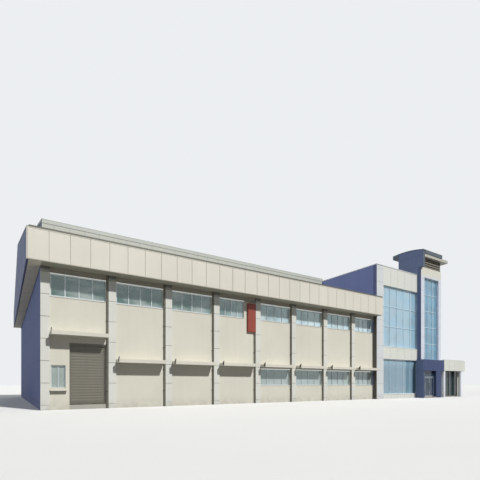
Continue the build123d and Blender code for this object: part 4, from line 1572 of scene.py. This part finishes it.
@dataclass
class Studio:
    """The pale floor, the light and the camera."""

    floor_size: float = 400.0
    floor_colour: Colour = (0.8, 0.8, 0.79)
    floor_return: Colour = (0.19, 0.187, 0.183)
    backdrop: Colour = (0.84, 0.86, 0.88)
    sky_light: Colour = (0.86, 0.93, 1.0)
    sky_strength: float = 0.17
    key: Lamp = Lamp(3.55, (-0.36, 1.0, -1.07), 3.0, (1.0, 0.985, 0.96))
    fill: Lamp = Lamp(0.9, (1.0, 0.05, -0.25), 20.0, (0.95, 0.97, 1.0))
    rear: Lamp = Lamp(0.6, (-0.3, -1.0, -0.35), 20.0, (0.95, 0.97, 1.0))
    eye: Point = (-11.4975, -17.84, 0.725)
    turn: float = -32.8
    lens: float = 27.53
    shift: float = 0.3

    def floor(self) -> None:
        """Lay a plain pale floor, which lights the building as a darker one would."""
        clear_bench()
        bpy.ops.mesh.primitive_plane_add(size=self.floor_size, location=(0, 0, -0.002))
        bpy.ops.object.transform_apply(location=True, rotation=True, scale=True)
        plane = bpy.context.active_object
        plane.name = "studio_floor"
        wiring = Wiring("studio_floor")
        pale = wiring.blend(wiring.spots(0.4, 2.0, 0.3, 0.7), shaded(self.floor_colour, 0.985),
                            self.floor_colour)
        wiring.plug(wiring.blend(seen_rays(wiring.tree), self.floor_return, pale),
                    wiring.shader.inputs["Base Color"])
        wiring.shader.inputs["Roughness"].default_value = 0.9
        plane.data.materials.append(wiring.material)
        plane.select_set(False)

    def world(self) -> None:
        """Light the scene softly from all round, with a pale backdrop for the camera and for gloss."""
        world = bpy.data.worlds.new("studio_world")
        bpy.context.scene.world = world
        world.use_nodes = True
        tree = world.node_tree
        tree.nodes.clear()
        mix = tree.nodes.new("ShaderNodeMixShader")
        tree.links.new(seen_rays(tree), mix.inputs[0])
        for number, colour, strength in ((1, self.sky_light, self.sky_strength), (2, self.backdrop, 1.0)):
            light = tree.nodes.new("ShaderNodeBackground")
            light.inputs["Color"].default_value = (*colour, 1.0)
            light.inputs["Strength"].default_value = strength
            tree.links.new(light.outputs[0], mix.inputs[number])
        tree.links.new(mix.outputs[0], tree.nodes.new("ShaderNodeOutputWorld").inputs[0])

    def lamps(self) -> None:
        """Add the key lamp, high on the right in front, and soft fill lamps from the left and the back."""
        for name, lamp in (("key_light", self.key), ("fill_light", self.fill), ("back_light", self.rear)):
            light = bpy.data.lights.new(name, "SUN")
            light.energy = lamp.strength
            light.angle = math.radians(lamp.width)
            light.color = lamp.colour
            holder = bpy.data.objects.new(name, light)
            holder.rotation_euler = Vector(lamp.way).to_track_quat("-Z", "Y").to_euler()
            bpy.context.scene.collection.objects.link(holder)

    def camera(self) -> None:
        """Place the camera where the photograph was taken from."""
        view = bpy.data.cameras.new("camera")
        view.lens = self.lens
        view.sensor_width = 36.0
        view.shift_y = self.shift
        view.clip_end = 500.0
        holder = bpy.data.objects.new("camera", view)
        holder.location = self.eye
        holder.rotation_euler = (math.radians(90), 0.0, math.radians(self.turn))
        bpy.context.scene.collection.objects.link(holder)
        bpy.context.scene.camera = holder

    def build(self) -> None:
        """Set up the studio."""
        bpy.context.scene.view_settings.view_transform = "Standard"
        self.floor()
        self.world()
        self.lamps()
        self.camera()


def main() -> None:
    """Build the building's looks and the studio, in order."""
    logging.basicConfig(level=logging.INFO, format="%(name)s: %(message)s")
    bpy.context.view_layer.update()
    shop = Shop()
    for finish in Finish:
        for node in finish.value.nodes.split():
            shop.dress(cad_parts[node], finish)
    bays, roof = Bays(), RoofForm()
    for assembly in (Eaves(shop, roof), Roofs(shop, roof), HallWindows(shop, bays), Ledges(shop, bays),
                     RainPipes(shop, bays), Dock(shop), Office(shop), StairTower(shop), Entrance(shop),
                     Porch(shop)):
        assembly.build()
        LOG.info("%s is built", type(assembly).__name__)
    Studio().build()


if __name__ == "__main__":
    main()
